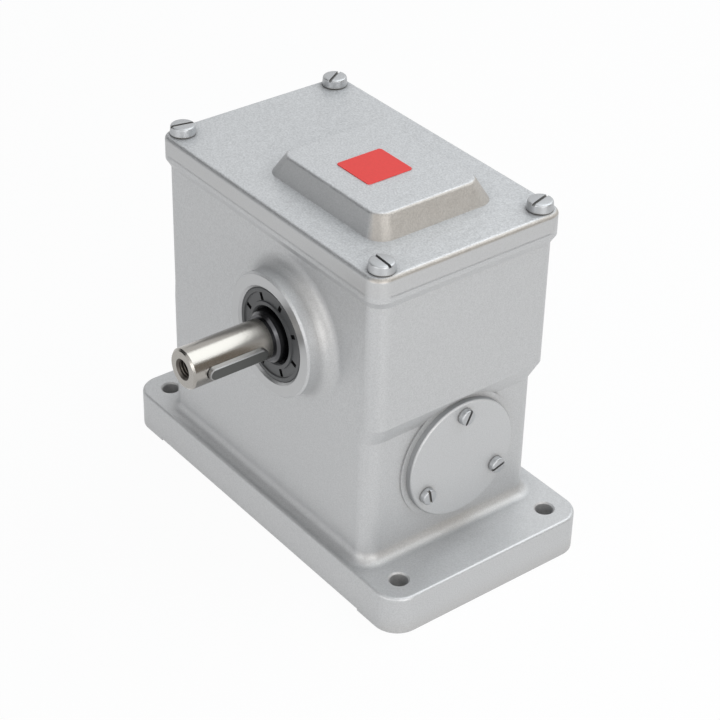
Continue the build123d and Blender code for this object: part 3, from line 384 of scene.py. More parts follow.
def seal_rubber(name, line, glossy_radius=0.0):
    """Moulded black rubber: a matt body, glossy and darker within a radius of its line."""
    gloss_edge = 0.0004
    glossy_black, matt_black = (0.012, 0.012, 0.013, 1.0), (0.060, 0.062, 0.064, 1.0)
    glossy_roughness, matt_roughness = 0.16, 0.48
    rubber, tree, finish = open_material(name, {"Specular IOR Level": 0.6})
    marks = fit_node(tree, "ShaderNodeGroup", line, node_tree=turning_marks)
    matt_share = rise_between(tree, marks.outputs["Radius"], glossy_radius, glossy_radius + gloss_edge)
    shade = mix_colours(tree, matt_share, glossy_black, matt_black)
    roughness = mix_numbers(tree, matt_share, glossy_roughness, matt_roughness)
    tree.links.new(shade, finish["Base Color"])
    tree.links.new(roughness, finish["Roughness"])
    return rubber


input_line = {"Centre": joint_places["input_spin"], "Axis": along_y}
input_lip_radius = 0.0075
spring_black = {
    "colour": (0.035, 0.035, 0.038), "roughness": 0.38, "metallic": 0.7,
    "mark_scale": 2000.0, "mark_depth": 0.00001,
}
dress("input_worm", turned_metal("input_worm_ground_steel", input_line, **ground_steel))
input_bearing_finish = turned_metal("input_bearing_steel", input_line, **race_steel)
dress("input_bearing_outers", input_bearing_finish)
dress("input_bearing_inners", input_bearing_finish)
dress("input_circlip", turned_metal("black_spring_steel", input_line, **spring_black))
dress("input_seal", seal_rubber("input_seal_rubber", input_line, input_lip_radius))

# Output group: bronze worm wheel rim on a cast iron hub, keyed to the 20 mm output shaft, with a distance sleeve
# and two ball bearings. The shaft end is ground and polished, with painted shade on it by the seal and in its
# tapped hole.
shaft_line = {"Centre": (shaft_x, shaft_y, shaft_z), "Axis": along_y}
drawn_along_y = (1.0, 0.05, 1.0)
hub_iron = {"colour": (0.22, 0.22, 0.23), "roughness": 0.48, "mark_scale": 1500.0, "mark_depth": 0.00005}
polished_steel = {
    "colour": (0.37, 0.355, 0.33), "roughness": 0.22, "mark_scale": 3200.0, "mark_depth": 0.00003
}
shaft_end = (shaft_x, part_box("output_shaft")[0][1], shaft_z)
tapped_mouth_radius = 0.0053
tapped_depth = 0.0262
# Painted shade darkens the shaft from a little in front of the seal's face inwards.
seal_shade_reach = 0.0051
seal_shade_radius = 0.0300
seal_shade_start = (shaft_x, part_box("output_seal")[0][1] - seal_shade_reach, shaft_z)
shaft_steel = turned_metal("output_shaft_polished_steel", shaft_line, **polished_steel)
show_bare_metal_and_shade(shaft_steel, (0.09, 0.09, 0.095), 0.24, [(seal_shade_start, along_y, seal_shade_radius, 0.0)])
# Painted shade darkens the mouth and inside of the tapped hole.
show_bare_metal_and_shade(
    shaft_steel, (0.10, 0.09, 0.08), 0.45, [(shaft_end, to_front, tapped_mouth_radius, tapped_depth)]
)
dress("output_shaft", shaft_steel)
dress("wheel_key", drawn_steel("wheel_key_steel", steel, 0.35, drawn_along_y))
dress("worm_wheel_rim", turned_metal("worm_wheel_bronze", shaft_line, roughness=0.30, **wheel_bronze))
dress("worm_wheel_hub", turned_metal("hub_cast_iron", shaft_line, **hub_iron))
dress("hub_sleeve", turned_metal("hub_sleeve_steel", shaft_line, **sleeve_steel))
output_bearing_finish = turned_metal("output_bearing_steel", shaft_line, **race_steel)
dress("output_bearing_outers", output_bearing_finish)
dress("output_bearing_inners", output_bearing_finish)

# Output key: a parallel key of drawn steel with round ends, pressed into the keyway, its outer edges chamfered.
# Its flanks are bright, and its outward face is darker with painted shade.


def skin(rings, around, closed):
    """Faces between rings of as many points each. Closed, the last ring meets the first."""
    faces = []
    for ring in range(rings if closed else rings - 1):
        here, there = ring * around, (ring + 1) % rings * around
        for step in range(around):
            after = (step + 1) % around
            faces.append((here + step, here + after, there + after, there + step))
    return faces


def build_piece(name, points, faces, material):
    """One piece from its points and faces, in one finish."""
    mesh = bpy.data.meshes.new(name)
    mesh.from_pydata(points, [], faces)
    mesh.materials.append(material)
    piece = bpy.data.objects.new(name, mesh)
    bpy.context.collection.objects.link(piece)
    return piece


key_low, key_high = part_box("output_key")
key_base = key_low[0] - shaft_x
key_top = key_high[0] - shaft_x
key_half_width = 0.00297
key_chamfer = 0.00045
round_steps = 14


def slot_outline(half_width, level):
    """Points of a slot with round ends, seen along the shaft's X, at a height over the axis."""
    ends = ((key_high[1] - key_half_width, 0.0), (key_low[1] + key_half_width, math.pi))
    return [
        (
            shaft_x + level,
            middle + half_width * math.cos(turn + math.pi * (step / round_steps - 0.5)),
            shaft_z + half_width * math.sin(turn + math.pi * (step / round_steps - 0.5)),
        )
        for middle, turn in ends
        for step in range(round_steps + 1)
    ]


key_points = (
    slot_outline(key_half_width, key_base)
    + slot_outline(key_half_width, key_top - key_chamfer)
    + slot_outline(key_half_width - key_chamfer, key_top)
)
key_ring = len(key_points) // 3
key_caps = [tuple(range(key_ring))[::-1], tuple(range(2 * key_ring, 3 * key_ring))]
key_flank = (0.40, 0.40, 0.40)
key_top_shade = (0.105, 0.107, 0.104, 1.0)
key_finish = drawn_steel("output_key_steel", key_flank, 0.32, drawn_along_y)
key_tree = key_finish.node_tree
key_colour = key_tree.nodes["Principled BSDF"].inputs["Base Color"]
# Painted shade: the face that points outward along +X is darker than the flanks.
key_side = parts_of(key_tree, fit_node(key_tree, "ShaderNodeTexCoord").outputs["Normal"])["X"]
top_shade_share = rise_between(key_tree, key_side, 0.60, 0.90)
key_tree.links.new(mix_colours(key_tree, top_shade_share, key_colour.default_value, key_top_shade), key_colour)
key_faces = key_caps + skin(3, key_ring, closed=False)
chamfered_key = build_piece("output_key_chamfered", key_points, key_faces, key_finish)
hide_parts("output_key")
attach(chamfered_key, "output")

# Keyway end: the shaft's own steel up to the round end of the keyway, half a millimetre
# short of the key, its top in the shaft's ground surface.
shaft_radius = 0.0100
keyway_inset = 0.0040
keyway_start = shaft_end[1] + keyway_inset
keyway_end_radius = 0.0030
end_half_width = 0.0029
end_length = 0.0025
end_steps = 20
end_points = []
for step in range(end_steps + 1):
    across = end_half_width * math.sin(math.pi * (step / end_steps - 0.5))
    outer = keyway_start + keyway_end_radius - math.sqrt(keyway_end_radius ** 2 - across ** 2)
    inner = outer + end_length
    surface = math.sqrt(shaft_radius ** 2 - across ** 2)
    for along, level in ((outer, surface), (inner, surface), (inner, key_base), (outer, key_base)):
        end_points.append((shaft_x + level, along, shaft_z + across))
end_caps = [(3, 2, 1, 0), tuple(4 * end_steps + corner for corner in range(4))]
end_faces = end_caps + skin(end_steps + 1, 4, closed=False)
keyway_end = build_piece("keyway_end", end_points, end_faces, shaft_steel)
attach(keyway_end, "output")

# Tapped hole in the shaft end: a right-hand thread cut down to the core hole, for the
# screw that holds a sprocket on. It follows the turns of one helix.
thread_tree, taken = open_group(
    "tapped_thread",
    "GeometryNodeTree",
    {
        "Core Radius": (NUMBER, 0.0042),
        "Pitch": (NUMBER, 0.0015),
        "Turns": (NUMBER, 11.0),
        "Finish": ("NodeSocketMaterial", None),
    },
    {"Geometry": "NodeSocketGeometry"},
)
ridge_share = 0.42
helix = fit_node(
    thread_tree, "GeometryNodeCurveSpiral",
    {
        "Resolution": 28,
        "Rotations": taken["Turns"],
        "Start Radius": taken["Core Radius"],
        "End Radius": taken["Core Radius"],
        "Height": calculate(thread_tree, "MULTIPLY", taken["Pitch"], taken["Turns"]),
    },
).outputs["Curve"]
ridge_size = calculate(thread_tree, "MULTIPLY", taken["Pitch"], ridge_share)
ridge = fit_node(
    thread_tree, "GeometryNodeCurvePrimitiveCircle", {"Resolution": 3, "Radius": ridge_size}
).outputs["Curve"]
thread_mesh = fit_node(
    thread_tree, "GeometryNodeCurveToMesh", {"Curve": helix, "Profile Curve": ridge, "Fill Caps": True}
).outputs["Mesh"]
plain = fit_node(thread_tree, "GeometryNodeRealizeInstances", {"Geometry": thread_mesh}).outputs["Geometry"]
finished = fit_node(
    thread_tree, "GeometryNodeSetMaterial", {"Geometry": plain, "Material": taken["Finish"]}
)
close_group(thread_tree, {"Geometry": finished.outputs["Geometry"]})


def make_by_tree(name, tree, sizes, points=((0.0, 0.0, 0.0),), faces=(), turns=()):
    """Runs a geometry tree on points, and on any faces between them, and leaves its result
    as one plain mesh. A turn gives its point three angles."""
    base = bpy.data.meshes.new(name)
    base.from_pydata(points, [], faces)
    seat_turns = base.attributes.new("seat_turn", "FLOAT_VECTOR", "POINT")
    for index, turn in enumerate(turns):
        seat_turns.data[index].vector = turn
    piece = bpy.data.objects.new(name, base)
    bpy.context.collection.objects.link(piece)
    modifier = piece.modifiers.new("build", "NODES")
    modifier.node_group = tree
    for socket in tree.interface.items_tree:
        if socket.in_out == "INPUT" and socket.name in sizes:
            modifier[socket.identifier] = sizes[socket.name]
    ready = piece.evaluated_get(bpy.context.evaluated_depsgraph_get())
    mesh = bpy.data.meshes.new_from_object(ready)
    piece.modifiers.clear()
    piece.data = mesh
    mesh.name = name
    return piece


# The thread's steel is painted dark, as painted shade inside the hole.
tapped_steel_in_shade = {
    "colour": (0.16, 0.145, 0.125), "roughness": 0.35, "mark_scale": 2000.0, "mark_depth": 0.00002
}
thread_inset = 0.0012
thread_start = (shaft_x, shaft_end[1] + thread_inset, shaft_z)
thread = make_by_tree(
    "shaft_end_thread",
    thread_tree,
    {
        "Core Radius": 0.0043,
        "Pitch": 0.0015,
        "Turns": 11.0,
        "Finish": turned_metal("tapped_steel_in_shade", shaft_line, **tapped_steel_in_shade),
    },
)
thread.data.transform(Matrix.Translation(thread_start) @ Matrix.Rotation(math.radians(-90), 4, "X"))
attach(thread, "output")

# Output seal: a moulded rubber lip seal pressed into the turned boss. Eight short radial pockets, with painted
# shade inside, are moulded into the flat ring between its rim and its inner rib.
# Its section is (radius, distance along the shaft) in millimetres, scaled once it is cut.
millimetre = 0.001
lip_gloss_radius = 0.0142
flat_height = 64.8
flat_outer, flat_inner = 20.8, 16.8
rim_section = ((23.5, 64.9), (22.9, 65.5), (21.2, 65.5), (flat_outer, flat_height))
rib_section = ((flat_inner, flat_height), (16.6, 65.6), (14.9, 65.6), (14.5, 65.1))
lip_section = ((12.8, 62.9), (12.55, 62.4), (12.55, 62.0), (13.75, 60.3), (15.5, 60.3))
back_section = ((16.2, 62.3), (21.0, 62.3), (21.0, 58.5), (23.5, 58.5))
seal_section = rim_section + rib_section + lip_section + back_section
seal_steps = 120
seal_angles = [2 * math.pi * step / seal_steps for step in range(seal_steps)]
seal_points = [
    (radius * math.cos(angle), radius * math.sin(angle), level)
    for angle in seal_angles
    for radius, level in seal_section
]
# The section runs against the faces of a skin, so they are turned to point outwards.
seal_faces = [face[::-1] for face in skin(seal_steps, len(seal_section), closed=True)]
seal_tree, taken = open_group(
    "ribbed_seal",
    "GeometryNodeTree",
    {
        "Ring": ("NodeSocketGeometry", None),
        "Count": ("NodeSocketInt", 8),
        "Middle Radius": (NUMBER, 18.8),
        "Pocket Length": (NUMBER, 3.6),
        "Pocket Width": (NUMBER, 1.4),
        "Pocket Depth": (NUMBER, 0.9),
        "Face Level": (NUMBER, 64.8),
        "Finish": ("NodeSocketMaterial", None),
        "Pocket Finish": ("NodeSocketMaterial", None),
    },
    {"Geometry": "NodeSocketGeometry"},
)
cutter_size = fit_node(
    seal_tree, "ShaderNodeCombineXYZ",
    {
        "X": taken["Pocket Length"],
        "Y": taken["Pocket Width"],
        "Z": calculate(seal_tree, "MULTIPLY", taken["Pocket Depth"], 2.0),
    },
).outputs["Vector"]
cutter = fit_node(seal_tree, "GeometryNodeMeshCube", {"Size": cutter_size}).outputs["Mesh"]
marked_cutter = fit_node(
    seal_tree, "GeometryNodeStoreNamedAttribute",
    {"Geometry": cutter, "Name": "in_pocket", "Value": True},
    data_type="BOOLEAN", domain="FACE",
).outputs["Geometry"]
pocket_circle = fit_node(
    seal_tree, "GeometryNodeMeshCircle", {"Vertices": taken["Count"], "Radius": taken["Middle Radius"]}
).outputs["Mesh"]
outward_turn = fit_node(
    seal_tree, "FunctionNodeAlignRotationToVector",
    {"Vector": fit_node(seal_tree, "GeometryNodeInputPosition").outputs["Position"]}, axis="X",
).outputs["Rotation"]
cutter_circle = fit_node(
    seal_tree, "GeometryNodeInstanceOnPoints",
    {"Points": pocket_circle, "Instance": marked_cutter, "Rotation": outward_turn},
).outputs["Instances"]
cutter_circle = fit_node(
    seal_tree, "GeometryNodeRealizeInstances", {"Geometry": cutter_circle}
).outputs["Geometry"]
cutter_lift = fit_node(seal_tree, "ShaderNodeCombineXYZ", {"Z": taken["Face Level"]}).outputs["Vector"]
raised_cutters = fit_node(
    seal_tree, "GeometryNodeTransform", {"Geometry": cutter_circle, "Translation": cutter_lift}
).outputs["Geometry"]
pocketed = fit_node(
    seal_tree, "GeometryNodeMeshBoolean", {"Mesh 1": taken["Ring"], "Mesh 2": raised_cutters},
    operation="DIFFERENCE",
).outputs["Mesh"]
plain = fit_node(seal_tree, "GeometryNodeRealizeInstances", {"Geometry": pocketed}).outputs["Geometry"]
in_pocket = fit_node(
    seal_tree, "GeometryNodeInputNamedAttribute", {"Name": "in_pocket"}, data_type="BOOLEAN"
).outputs["Attribute"]
all_rubber = fit_node(
    seal_tree, "GeometryNodeSetMaterial", {"Geometry": plain, "Material": taken["Finish"]}
).outputs["Geometry"]
finished = fit_node(
    seal_tree, "GeometryNodeSetMaterial",
    {"Geometry": all_rubber, "Selection": in_pocket, "Material": taken["Pocket Finish"]},
)
close_group(seal_tree, {"Geometry": finished.outputs["Geometry"]})
# The pockets' near-black is painted shade in the recesses.
pocket_shade_black, _, _ = open_material(
    "seal_pocket_shade_black",
    {"Base Color": (0.004, 0.004, 0.004, 1.0), "Roughness": 0.9, "Specular IOR Level": 0.1},
)
ribbed_seal = make_by_tree(
    "output_seal_ribbed",
    seal_tree,
    {
        "Count": 8,
        "Middle Radius": (flat_outer + flat_inner) / 2,
        "Pocket Length": 3.8,
        "Pocket Width": 2.2,
        "Pocket Depth": 0.9,
        "Face Level": flat_height,
        "Finish": seal_rubber("output_seal_rubber", shaft_line, lip_gloss_radius),
        "Pocket Finish": pocket_shade_black,
    },
    seal_points,
    seal_faces,
)
first_pocket_angle = math.radians(24)
ribbed_seal.data.transform(
    Matrix.Translation((shaft_x, shaft_y, shaft_z))
    @ Matrix.Rotation(math.radians(90), 4, "X")
    @ Matrix.Rotation(first_pocket_angle, 4, "Z")
    @ Matrix.Scale(millimetre, 4)
)
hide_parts("output_seal")
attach(ribbed_seal, "case")

# Rear cap: a pressed steel cap coated with rubber, driven into the far bearing seat of
# the shaft, with the small shiny mark of its moulding gate in the middle.
gate_mark_radius = 0.0010
dress("rear_cap", seal_rubber("rear_cap_rubber", shaft_line, gate_mark_radius))

# Joint between housing and cover: a paper gasket whose edge the spray has bridged, so
# that the paint runs on over it. The strip stands flush with both castings.
gasket_low, gasket_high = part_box("cover_gasket")
cover_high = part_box("top_cover")[1]
strip_overlap = 0.0001
strip_radius = 0.008
strip_depth = 0.0030
corner_steps = 8
strip_low = gasket_low[2] - strip_overlap
strip_high = gasket_high[2] + strip_overlap
strip_section = ((0.0, strip_low), (0.0, strip_high), (strip_depth, strip_high), (strip_depth, strip_low))
strip_points = []
for shrink, level in strip_section:
    reach = strip_radius - shrink
    for quarter, (side_x, side_y) in enumerate(((1, 1), (-1, 1), (-1, -1), (1, -1))):
        corner_x = side_x * (cover_high[0] - strip_radius)
        corner_y = side_y * (cover_high[1] - strip_radius)
        for step in range(corner_steps + 1):
            angle = math.radians(90 * (quarter + step / corner_steps))
            place_x = corner_x + reach * math.cos(angle)
            place_y = corner_y + reach * math.sin(angle)
            strip_points.append((place_x, place_y, level))
strip_sides = len(strip_section)
strip_faces = skin(strip_sides, len(strip_points) // strip_sides, closed=True)
painted_joint = build_piece("painted_joint", strip_points, strip_faces, housing_paint)
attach(painted_joint, "case")
paper_colour = (0.30, 0.27, 0.22, 1.0)
gasket_paper, _, _ = open_material("gasket_paper", {"Base Color": paper_colour, "Roughness": 0.9})
dress("cover_gasket", gasket_paper)

# Top cover: cast aluminium plate with a raised pad that clears the worm wheel, sprayed together with its gasket
# after assembly, grainier than the walls, its level top lighter than its slopes and sides, which carry painted
# shade.
cover_paint = silver_paint(
    "cover_silver_paint",
    (0.62, 0.63, 0.64),
    speckle=0.24,
    grain_scale=1200.0,
    grain_depth=0.00032,
    upright_grain=0.35,
    sloped_shade_colour=(0.45, 0.455, 0.46),
    upright_shade_colour=(0.53, 0.532, 0.534),
)
dress("top_cover", cover_paint)

# Cover screws: four slotted cheese head screws of zinc-plated steel, each with its slot
# left where it came tight. The head has a rounded top edge and a small undercut below.
screw_tree, taken = open_group(
    "slotted_screw",
    "GeometryNodeTree",
    {
        "Seats": ("NodeSocketGeometry", None),
        "Head Radius": (NUMBER, 0.0065),
        "Head Height": (NUMBER, 0.005),
        "Edge Rounding": (NUMBER, 0.0008),
        "Taper": (NUMBER, 0.0003),
        "Undercut": (NUMBER, 0.0004),
        "Slot Width": (NUMBER, 0.0017),
        "Slot Depth": (NUMBER, 0.0021),
        "Shank Radius": (NUMBER, 0.004),
        "Shank Length": (NUMBER, 0.02),
        "Finish": ("NodeSocketMaterial", None),
    },
    {"Geometry": "NodeSocketGeometry"},
)


def in_screw(operation, *values):
    """The result of one Math node in the screw's tree."""
    return calculate(screw_tree, operation, *values)


def at_height(height):
    """A place on the screw's axis."""
    return fit_node(screw_tree, "ShaderNodeCombineXYZ", {"Z": height}).outputs["Vector"]


crease_angle = 0.6
blank = fit_node(
    screw_tree, "GeometryNodeMeshCylinder",
    {"Vertices": 40, "Side Segments": 24, "Fill Segments": 1, "Radius": 1.0, "Depth": taken["Head Height"]},
    fill_type="NGON",
).outputs["Mesh"]
lift = at_height(in_screw("MULTIPLY", taken["Head Height"], 0.5))
blank = fit_node(
    screw_tree, "GeometryNodeSetPosition", {"Geometry": blank, "Offset": lift}
).outputs["Geometry"]
spot = parts_of(screw_tree, fit_node(screw_tree, "GeometryNodeInputPosition").outputs["Position"])
shoulder = in_screw("SUBTRACT", taken["Head Height"], taken["Edge Rounding"])
past = in_screw("MAXIMUM", in_screw("SUBTRACT", spot["Z"], shoulder), 0.0)
rounding_square = in_screw("POWER", taken["Edge Rounding"], 2.0)
inside_arc = in_screw("MAXIMUM", in_screw("SUBTRACT", rounding_square, in_screw("POWER", past, 2.0)), 0.0)
straight = in_screw("SUBTRACT", taken["Head Radius"], taken["Edge Rounding"])
rounded = in_screw("ADD", straight, in_screw("SQRT", inside_arc))
relief = in_screw("MAXIMUM", in_screw("SUBTRACT", taken["Undercut"], spot["Z"]), 0.0)
narrowing = in_screw("MULTIPLY", in_screw("DIVIDE", spot["Z"], taken["Head Height"]), taken["Taper"])
reach = in_screw("SUBTRACT", in_screw("SUBTRACT", rounded, relief), narrowing)
turned_x = in_screw("MULTIPLY", spot["X"], reach)
turned_y = in_screw("MULTIPLY", spot["Y"], reach)
turned_place = fit_node(
    screw_tree, "ShaderNodeCombineXYZ", {"X": turned_x, "Y": turned_y, "Z": spot["Z"]}
).outputs["Vector"]
head = fit_node(
    screw_tree, "GeometryNodeSetPosition", {"Geometry": blank, "Position": turned_place}
).outputs["Geometry"]
slot_size = fit_node(
    screw_tree, "ShaderNodeCombineXYZ",
    {
        "X": in_screw("MULTIPLY", taken["Head Radius"], 3.0),
        "Y": taken["Slot Width"],
        "Z": in_screw("MULTIPLY", taken["Slot Depth"], 2.0),
    },
).outputs["Vector"]
cutter = fit_node(screw_tree, "GeometryNodeMeshCube", {"Size": slot_size}).outputs["Mesh"]
head_top = at_height(taken["Head Height"])
cutter = fit_node(
    screw_tree, "GeometryNodeTransform", {"Geometry": cutter, "Translation": head_top}
).outputs["Geometry"]
slotted = fit_node(
    screw_tree, "GeometryNodeMeshBoolean", {"Mesh 1": head, "Mesh 2": cutter}, operation="DIFFERENCE"
).outputs["Mesh"]
shank = fit_node(
    screw_tree, "GeometryNodeMeshCylinder",
    {"Vertices": 24, "Radius": taken["Shank Radius"], "Depth": taken["Shank Length"]},
).outputs["Mesh"]
below = at_height(in_screw("MULTIPLY", taken["Shank Length"], -0.5))
shank = fit_node(
    screw_tree, "GeometryNodeTransform", {"Geometry": shank, "Translation": below}
).outputs["Geometry"]
screw = fit_node(screw_tree, "GeometryNodeJoinGeometry")
screw_tree.links.new(slotted, screw.inputs["Geometry"])
screw_tree.links.new(shank, screw.inputs["Geometry"])
seat_turn = fit_node(
    screw_tree, "GeometryNodeInputNamedAttribute", {"Name": "seat_turn"}, data_type="FLOAT_VECTOR"
).outputs["Attribute"]
stand = fit_node(screw_tree, "FunctionNodeEulerToRotation", {"Euler": seat_turn}).outputs["Rotation"]
seats = fit_node(screw_tree, "GeometryNodeMeshToPoints", {"Mesh": taken["Seats"]}).outputs["Points"]
set_screws = fit_node(
    screw_tree, "GeometryNodeInstanceOnPoints",
    {"Points": seats, "Instance": screw.outputs["Geometry"], "Rotation": stand},
).outputs["Instances"]
plain = fit_node(screw_tree, "GeometryNodeRealizeInstances", {"Geometry": set_screws}).outputs["Geometry"]
bend = fit_node(screw_tree, "GeometryNodeInputMeshEdgeAngle").outputs["Unsigned Angle"]
creased = fit_node(
    screw_tree, "GeometryNodeStoreNamedAttribute",
    {"Geometry": plain, "Name": "sharp_edge", "Value": in_screw("GREATER_THAN", bend, crease_angle)},
    data_type="BOOLEAN", domain="EDGE",
).outputs["Geometry"]
smooth = fit_node(screw_tree, "GeometryNodeSetShadeSmooth", {"Geometry": creased}).outputs["Geometry"]
finished = fit_node(
    screw_tree, "GeometryNodeSetMaterial", {"Geometry": smooth, "Material": taken["Finish"]}
)
close_group(screw_tree, {"Geometry": finished.outputs["Geometry"]})


def zinc_plate(name, grain_scale):
    """Zinc plating on a screw, slightly dulled and uneven, with painted shade in its slot and corners."""
    plate = (0.47, 0.48, 0.49, 1.0)
    zinc, tree, finish = open_material(name, {"Metallic": 0.8, "Roughness": 0.42})
    grain = fit_node(
        tree, "ShaderNodeGroup", {"Grain Scale": grain_scale, "Speckle": 0.10}, node_tree=cast_grain
    ).outputs
    corner_shading = fit_node(
        tree, "ShaderNodeGroup",
        {
            "Paint": plate,
            "Sloped Shaded Paint": plate,
            "Upright Shaded Paint": plate,
            "Painted Shade": (0.22, 0.22, 0.22, 1.0),
            "Reach": 0.0016,
        },
        node_tree=painted_corner_shade,
    ).outputs
    speckled = mix_colours(tree, 1.0, corner_shading["Colour"], grain["Tone"], "MULTIPLY")
    tree.links.new(speckled, finish["Base Color"])
    return zinc


cover_head_height = 0.0050
cover_seat_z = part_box("cover_screws")[1][2] - cover_head_height
cover_screw_x, cover_screw_y = 0.078, 0.046
cover_seats = []
cover_turns = []
for side_x, side_y, slot_angle in ((-1, -1, 78), (-1, 1, 121), (1, 1, 105), (1, -1, -3)):
    cover_seats.append((side_x * cover_screw_x, side_y * cover_screw_y, cover_seat_z))
    cover_turns.append((0.0, 0.0, math.radians(slot_angle)))
cover_screws = make_by_tree(
    "cover_screw_set",
    screw_tree,
    {
        "Head Radius": 0.0065,
        "Head Height": cover_head_height,
        "Edge Rounding": 0.0010,
        "Taper": 0.0005,
        "Undercut": 0.0005,
        "Slot Width": 0.0015,
        "Slot Depth": 0.0012,
        "Shank Radius": 0.0038,
        "Shank Length": 0.0200,
        "Finish": zinc_plate("cover_screw_zinc", 2200.0),
    },
    cover_seats,
    turns=cover_turns,
)
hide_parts("cover_screws")
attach(cover_screws, "case")

# Round cover: turned aluminium disc on a rubber ring over the worm bearing seat, sprayed in place. Its rim carries
# a darker painted shade.
rim_start, rim_full = 0.0310, 0.0314
rim_shade_colour = (0.32, 0.325, 0.33, 1.0)
round_paint = silver_paint(
    "round_cover_silver_paint", (0.56, 0.565, 0.57), speckle=0.12, grain_scale=1700.0, grain_depth=0.00010
)
round_tree = round_paint.node_tree
round_colour = round_tree.nodes["Principled BSDF"].inputs["Base Color"]
round_marks = fit_node(round_tree, "ShaderNodeGroup", worm_line, node_tree=turning_marks)
rim_shade_share = rise_between(round_tree, round_marks.outputs["Radius"], rim_start, rim_full)
round_tree.links.new(mix_colours(round_tree, rim_shade_share, feed_of(round_colour), rim_shade_colour), round_colour)
dress("worm_cover", round_paint)
dress("worm_cover_ring", seal_rubber("round_cover_ring_rubber", worm_line))

# Round cover screws: three small slotted cheese head screws, half buried in paint, in
# the same plated steel as the cover screws.
round_front_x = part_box("worm_cover")[1][0]
round_pitch_radius = 0.0247
_, worm_y, worm_z = joint_places["worm_spin"]
quarter_about_z = Matrix.Rotation(math.radians(90), 3, "Z")
quarter_about_y = Matrix.Rotation(math.radians(90), 3, "Y")
round_seats = []
round_turns = []
for place_angle, slot_angle in ((90, 64), (210, 101), (330, 17)):
    around = math.radians(place_angle)
    seat_y = worm_y + round_pitch_radius * math.cos(around)
    seat_z = worm_z + round_pitch_radius * math.sin(around)
    slot_turn = Matrix.Rotation(math.radians(slot_angle), 3, "X") @ quarter_about_y @ quarter_about_z
    round_seats.append((round_front_x, seat_y, seat_z))
    round_turns.append(tuple(slot_turn.to_euler()))
round_screws = make_by_tree(
    "round_cover_screw_set",
    screw_tree,
    {
        "Head Radius": 0.00425,
        "Head Height": 0.0033,
        "Edge Rounding": 0.0007,
        "Taper": 0.0003,
        "Undercut": 0.0004,
        "Slot Width": 0.0014,
        "Slot Depth": 0.00117,
        "Shank Radius": 0.0024,
        "Shank Length": 0.0120,
        "Finish": zinc_plate("round_cover_screw_zinc", 2600.0),
    },
    round_seats,
    turns=round_turns,
)
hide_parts("worm_cover_screws")
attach(round_screws, "case")

# Label: a bare red foil of thin plastic with a faint grain. Its corners are rounded, and
# it is stuck flat on the pad of the cover.
foil_red = (0.86, 0.068, 0.060, 1.0)
label_foil, foil_tree, foil_finish = open_material(
    "red_label_foil", {"Roughness": 0.42, "Specular IOR Level": 0.20}
)
foil_grain = fit_node(
    foil_tree, "ShaderNodeGroup", {"Grain Scale": 900.0, "Speckle": 0.05}, node_tree=cast_grain
).outputs
foil_colour = mix_colours(foil_tree, 1.0, foil_red, foil_grain["Tone"], "MULTIPLY")
foil_tree.links.new(foil_colour, foil_finish["Base Color"])
dress("rating_label", label_foil)

# Studio: a pale table top, a white surround and three large soft lamps. The camera and
# polished metal see the table and the surround as white, and the table keeps the shadow.
bpy.context.scene.view_settings.view_transform = "Standard"


def seen_directly(tree):
    """Share of rays from the camera, a mirror surface or glass."""
    path = fit_node(tree, "ShaderNodeLightPath").outputs
    mirror = calculate(tree, "MAXIMUM", path["Is Camera Ray"], path["Is Glossy Ray"])
    return calculate(tree, "MAXIMUM", mirror, path["Is Transmission Ray"])


def flat_square(half):
    """Points of a flat square about the origin."""
    return [(-half, -half, 0), (half, -half, 0), (half, half, 0), (-half, half, 0)]


white = (1.0, 1.0, 1.0, 1.0)
surround = bpy.data.worlds.new("white_surround")
bpy.context.scene.world = surround
surround.use_nodes = True
sky = surround.node_tree
sky.nodes.clear()
soft_light = fit_node(sky, "ShaderNodeBackground", {"Color": (0.93, 0.96, 1.0, 1.0), "Strength": 0.42})
seen_white = fit_node(sky, "ShaderNodeBackground", {"Color": white, "Strength": 1.0})
surround_mix = fit_node(
    sky, "ShaderNodeMixShader", {0: seen_directly(sky), 1: soft_light.outputs[0], 2: seen_white.outputs[0]}
)
fit_node(sky, "ShaderNodeOutputWorld", {"Surface": surround_mix.outputs[0]})

table_half = 6.0
pale_table = bpy.data.materials.new("pale_table")
pale_table.use_nodes = True
pale = pale_table.node_tree
pale.nodes.clear()
shadowed = fit_node(pale, "ShaderNodeBsdfDiffuse", {"Color": (0.86, 0.86, 0.86, 1.0)})
lit_white = fit_node(pale, "ShaderNodeEmission", {"Color": white, "Strength": 1.0})
white_share = calculate(pale, "MULTIPLY", seen_directly(pale), 0.95)
pale_mix = fit_node(
    pale, "ShaderNodeMixShader", {0: white_share, 1: shadowed.outputs[0], 2: lit_white.outputs[0]}
)
fit_node(pale, "ShaderNodeOutputMaterial", {"Surface": pale_mix.outputs[0]})
table_top = build_piece("table_top", flat_square(table_half), [(0, 1, 2, 3)], pale_table)

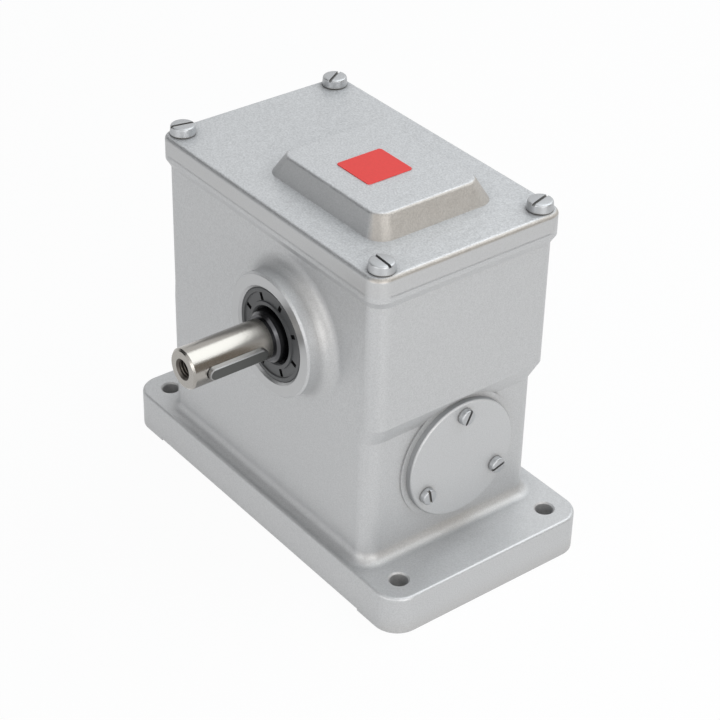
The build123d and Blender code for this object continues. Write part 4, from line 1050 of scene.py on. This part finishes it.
for lamp_name, place, aim, across, power, tint in (
    ("overhead_lamp", (0.26, 0.60, 1.15), (0.0, 0.0, 0.15), 1.3, 10.0, (0.92, 0.97, 1.0)),
    ("right_lamp", (1.30, -0.25, 0.45), (0.0, 0.0, 0.09), 0.9, 7.2, (1.0, 0.99, 0.98)),
    ("front_lamp", (0.30, -1.45, 0.30), (0.0, 0.0, 0.09), 0.8, 5.0, (1.0, 1.0, 1.0)),
):
    lamp_data = bpy.data.lights.new(lamp_name, "AREA")
    lamp_data.shape = "SQUARE"
    lamp_data.size = across
    lamp_data.energy = power
    lamp_data.color = tint
    lamp = bpy.data.objects.new(lamp_name, lamp_data)
    lamp.location = place
    lamp.rotation_euler = (Vector(aim) - Vector(place)).to_track_quat("-Z", "Y").to_euler()
    bpy.context.collection.objects.link(lamp)

# Cards: a matt dark one at the upper left and a warm one at the right rear, which only
# the gearbox sees. They draw the dark and brown lines on polished and painted metal.
card_half = 0.45
card_aim = Vector((0.0, 0.0, 0.12))
for card_name, place, card_colour in (
    ("dark_card", (-0.72, -0.62, 0.74), (0.05, 0.05, 0.05, 1.0)),
    ("warm_card", (0.98, 0.66, 0.42), (0.24, 0.19, 0.14, 1.0)),
):
    card_paper, _, _ = open_material(card_name + "_paper", {"Base Color": card_colour, "Roughness": 0.95})
    card = build_piece(card_name, flat_square(card_half), [(0, 1, 2, 3)], card_paper)
    card_turn = (card_aim - Vector(place)).to_track_quat("Z", "Y").to_matrix().to_4x4()
    card.data.transform(Matrix.Translation(place) @ card_turn)
    card.visible_camera = False
    card.visible_shadow = False

# Camera: a long lens above the front corner, looking down on the output shaft side. Its
# tilt, roll and heading are in degrees.
camera_data = bpy.data.cameras.new("camera")
camera_data.sensor_width = 36.0
camera_data.lens = 101.71
camera = bpy.data.objects.new("camera", camera_data)
camera.location = (0.66445, -0.52193, 0.64225)
camera.rotation_euler = [math.radians(angle) for angle in (56.0791, -1.1907, 52.3859)]
bpy.context.collection.objects.link(camera)
bpy.context.scene.camera = camera
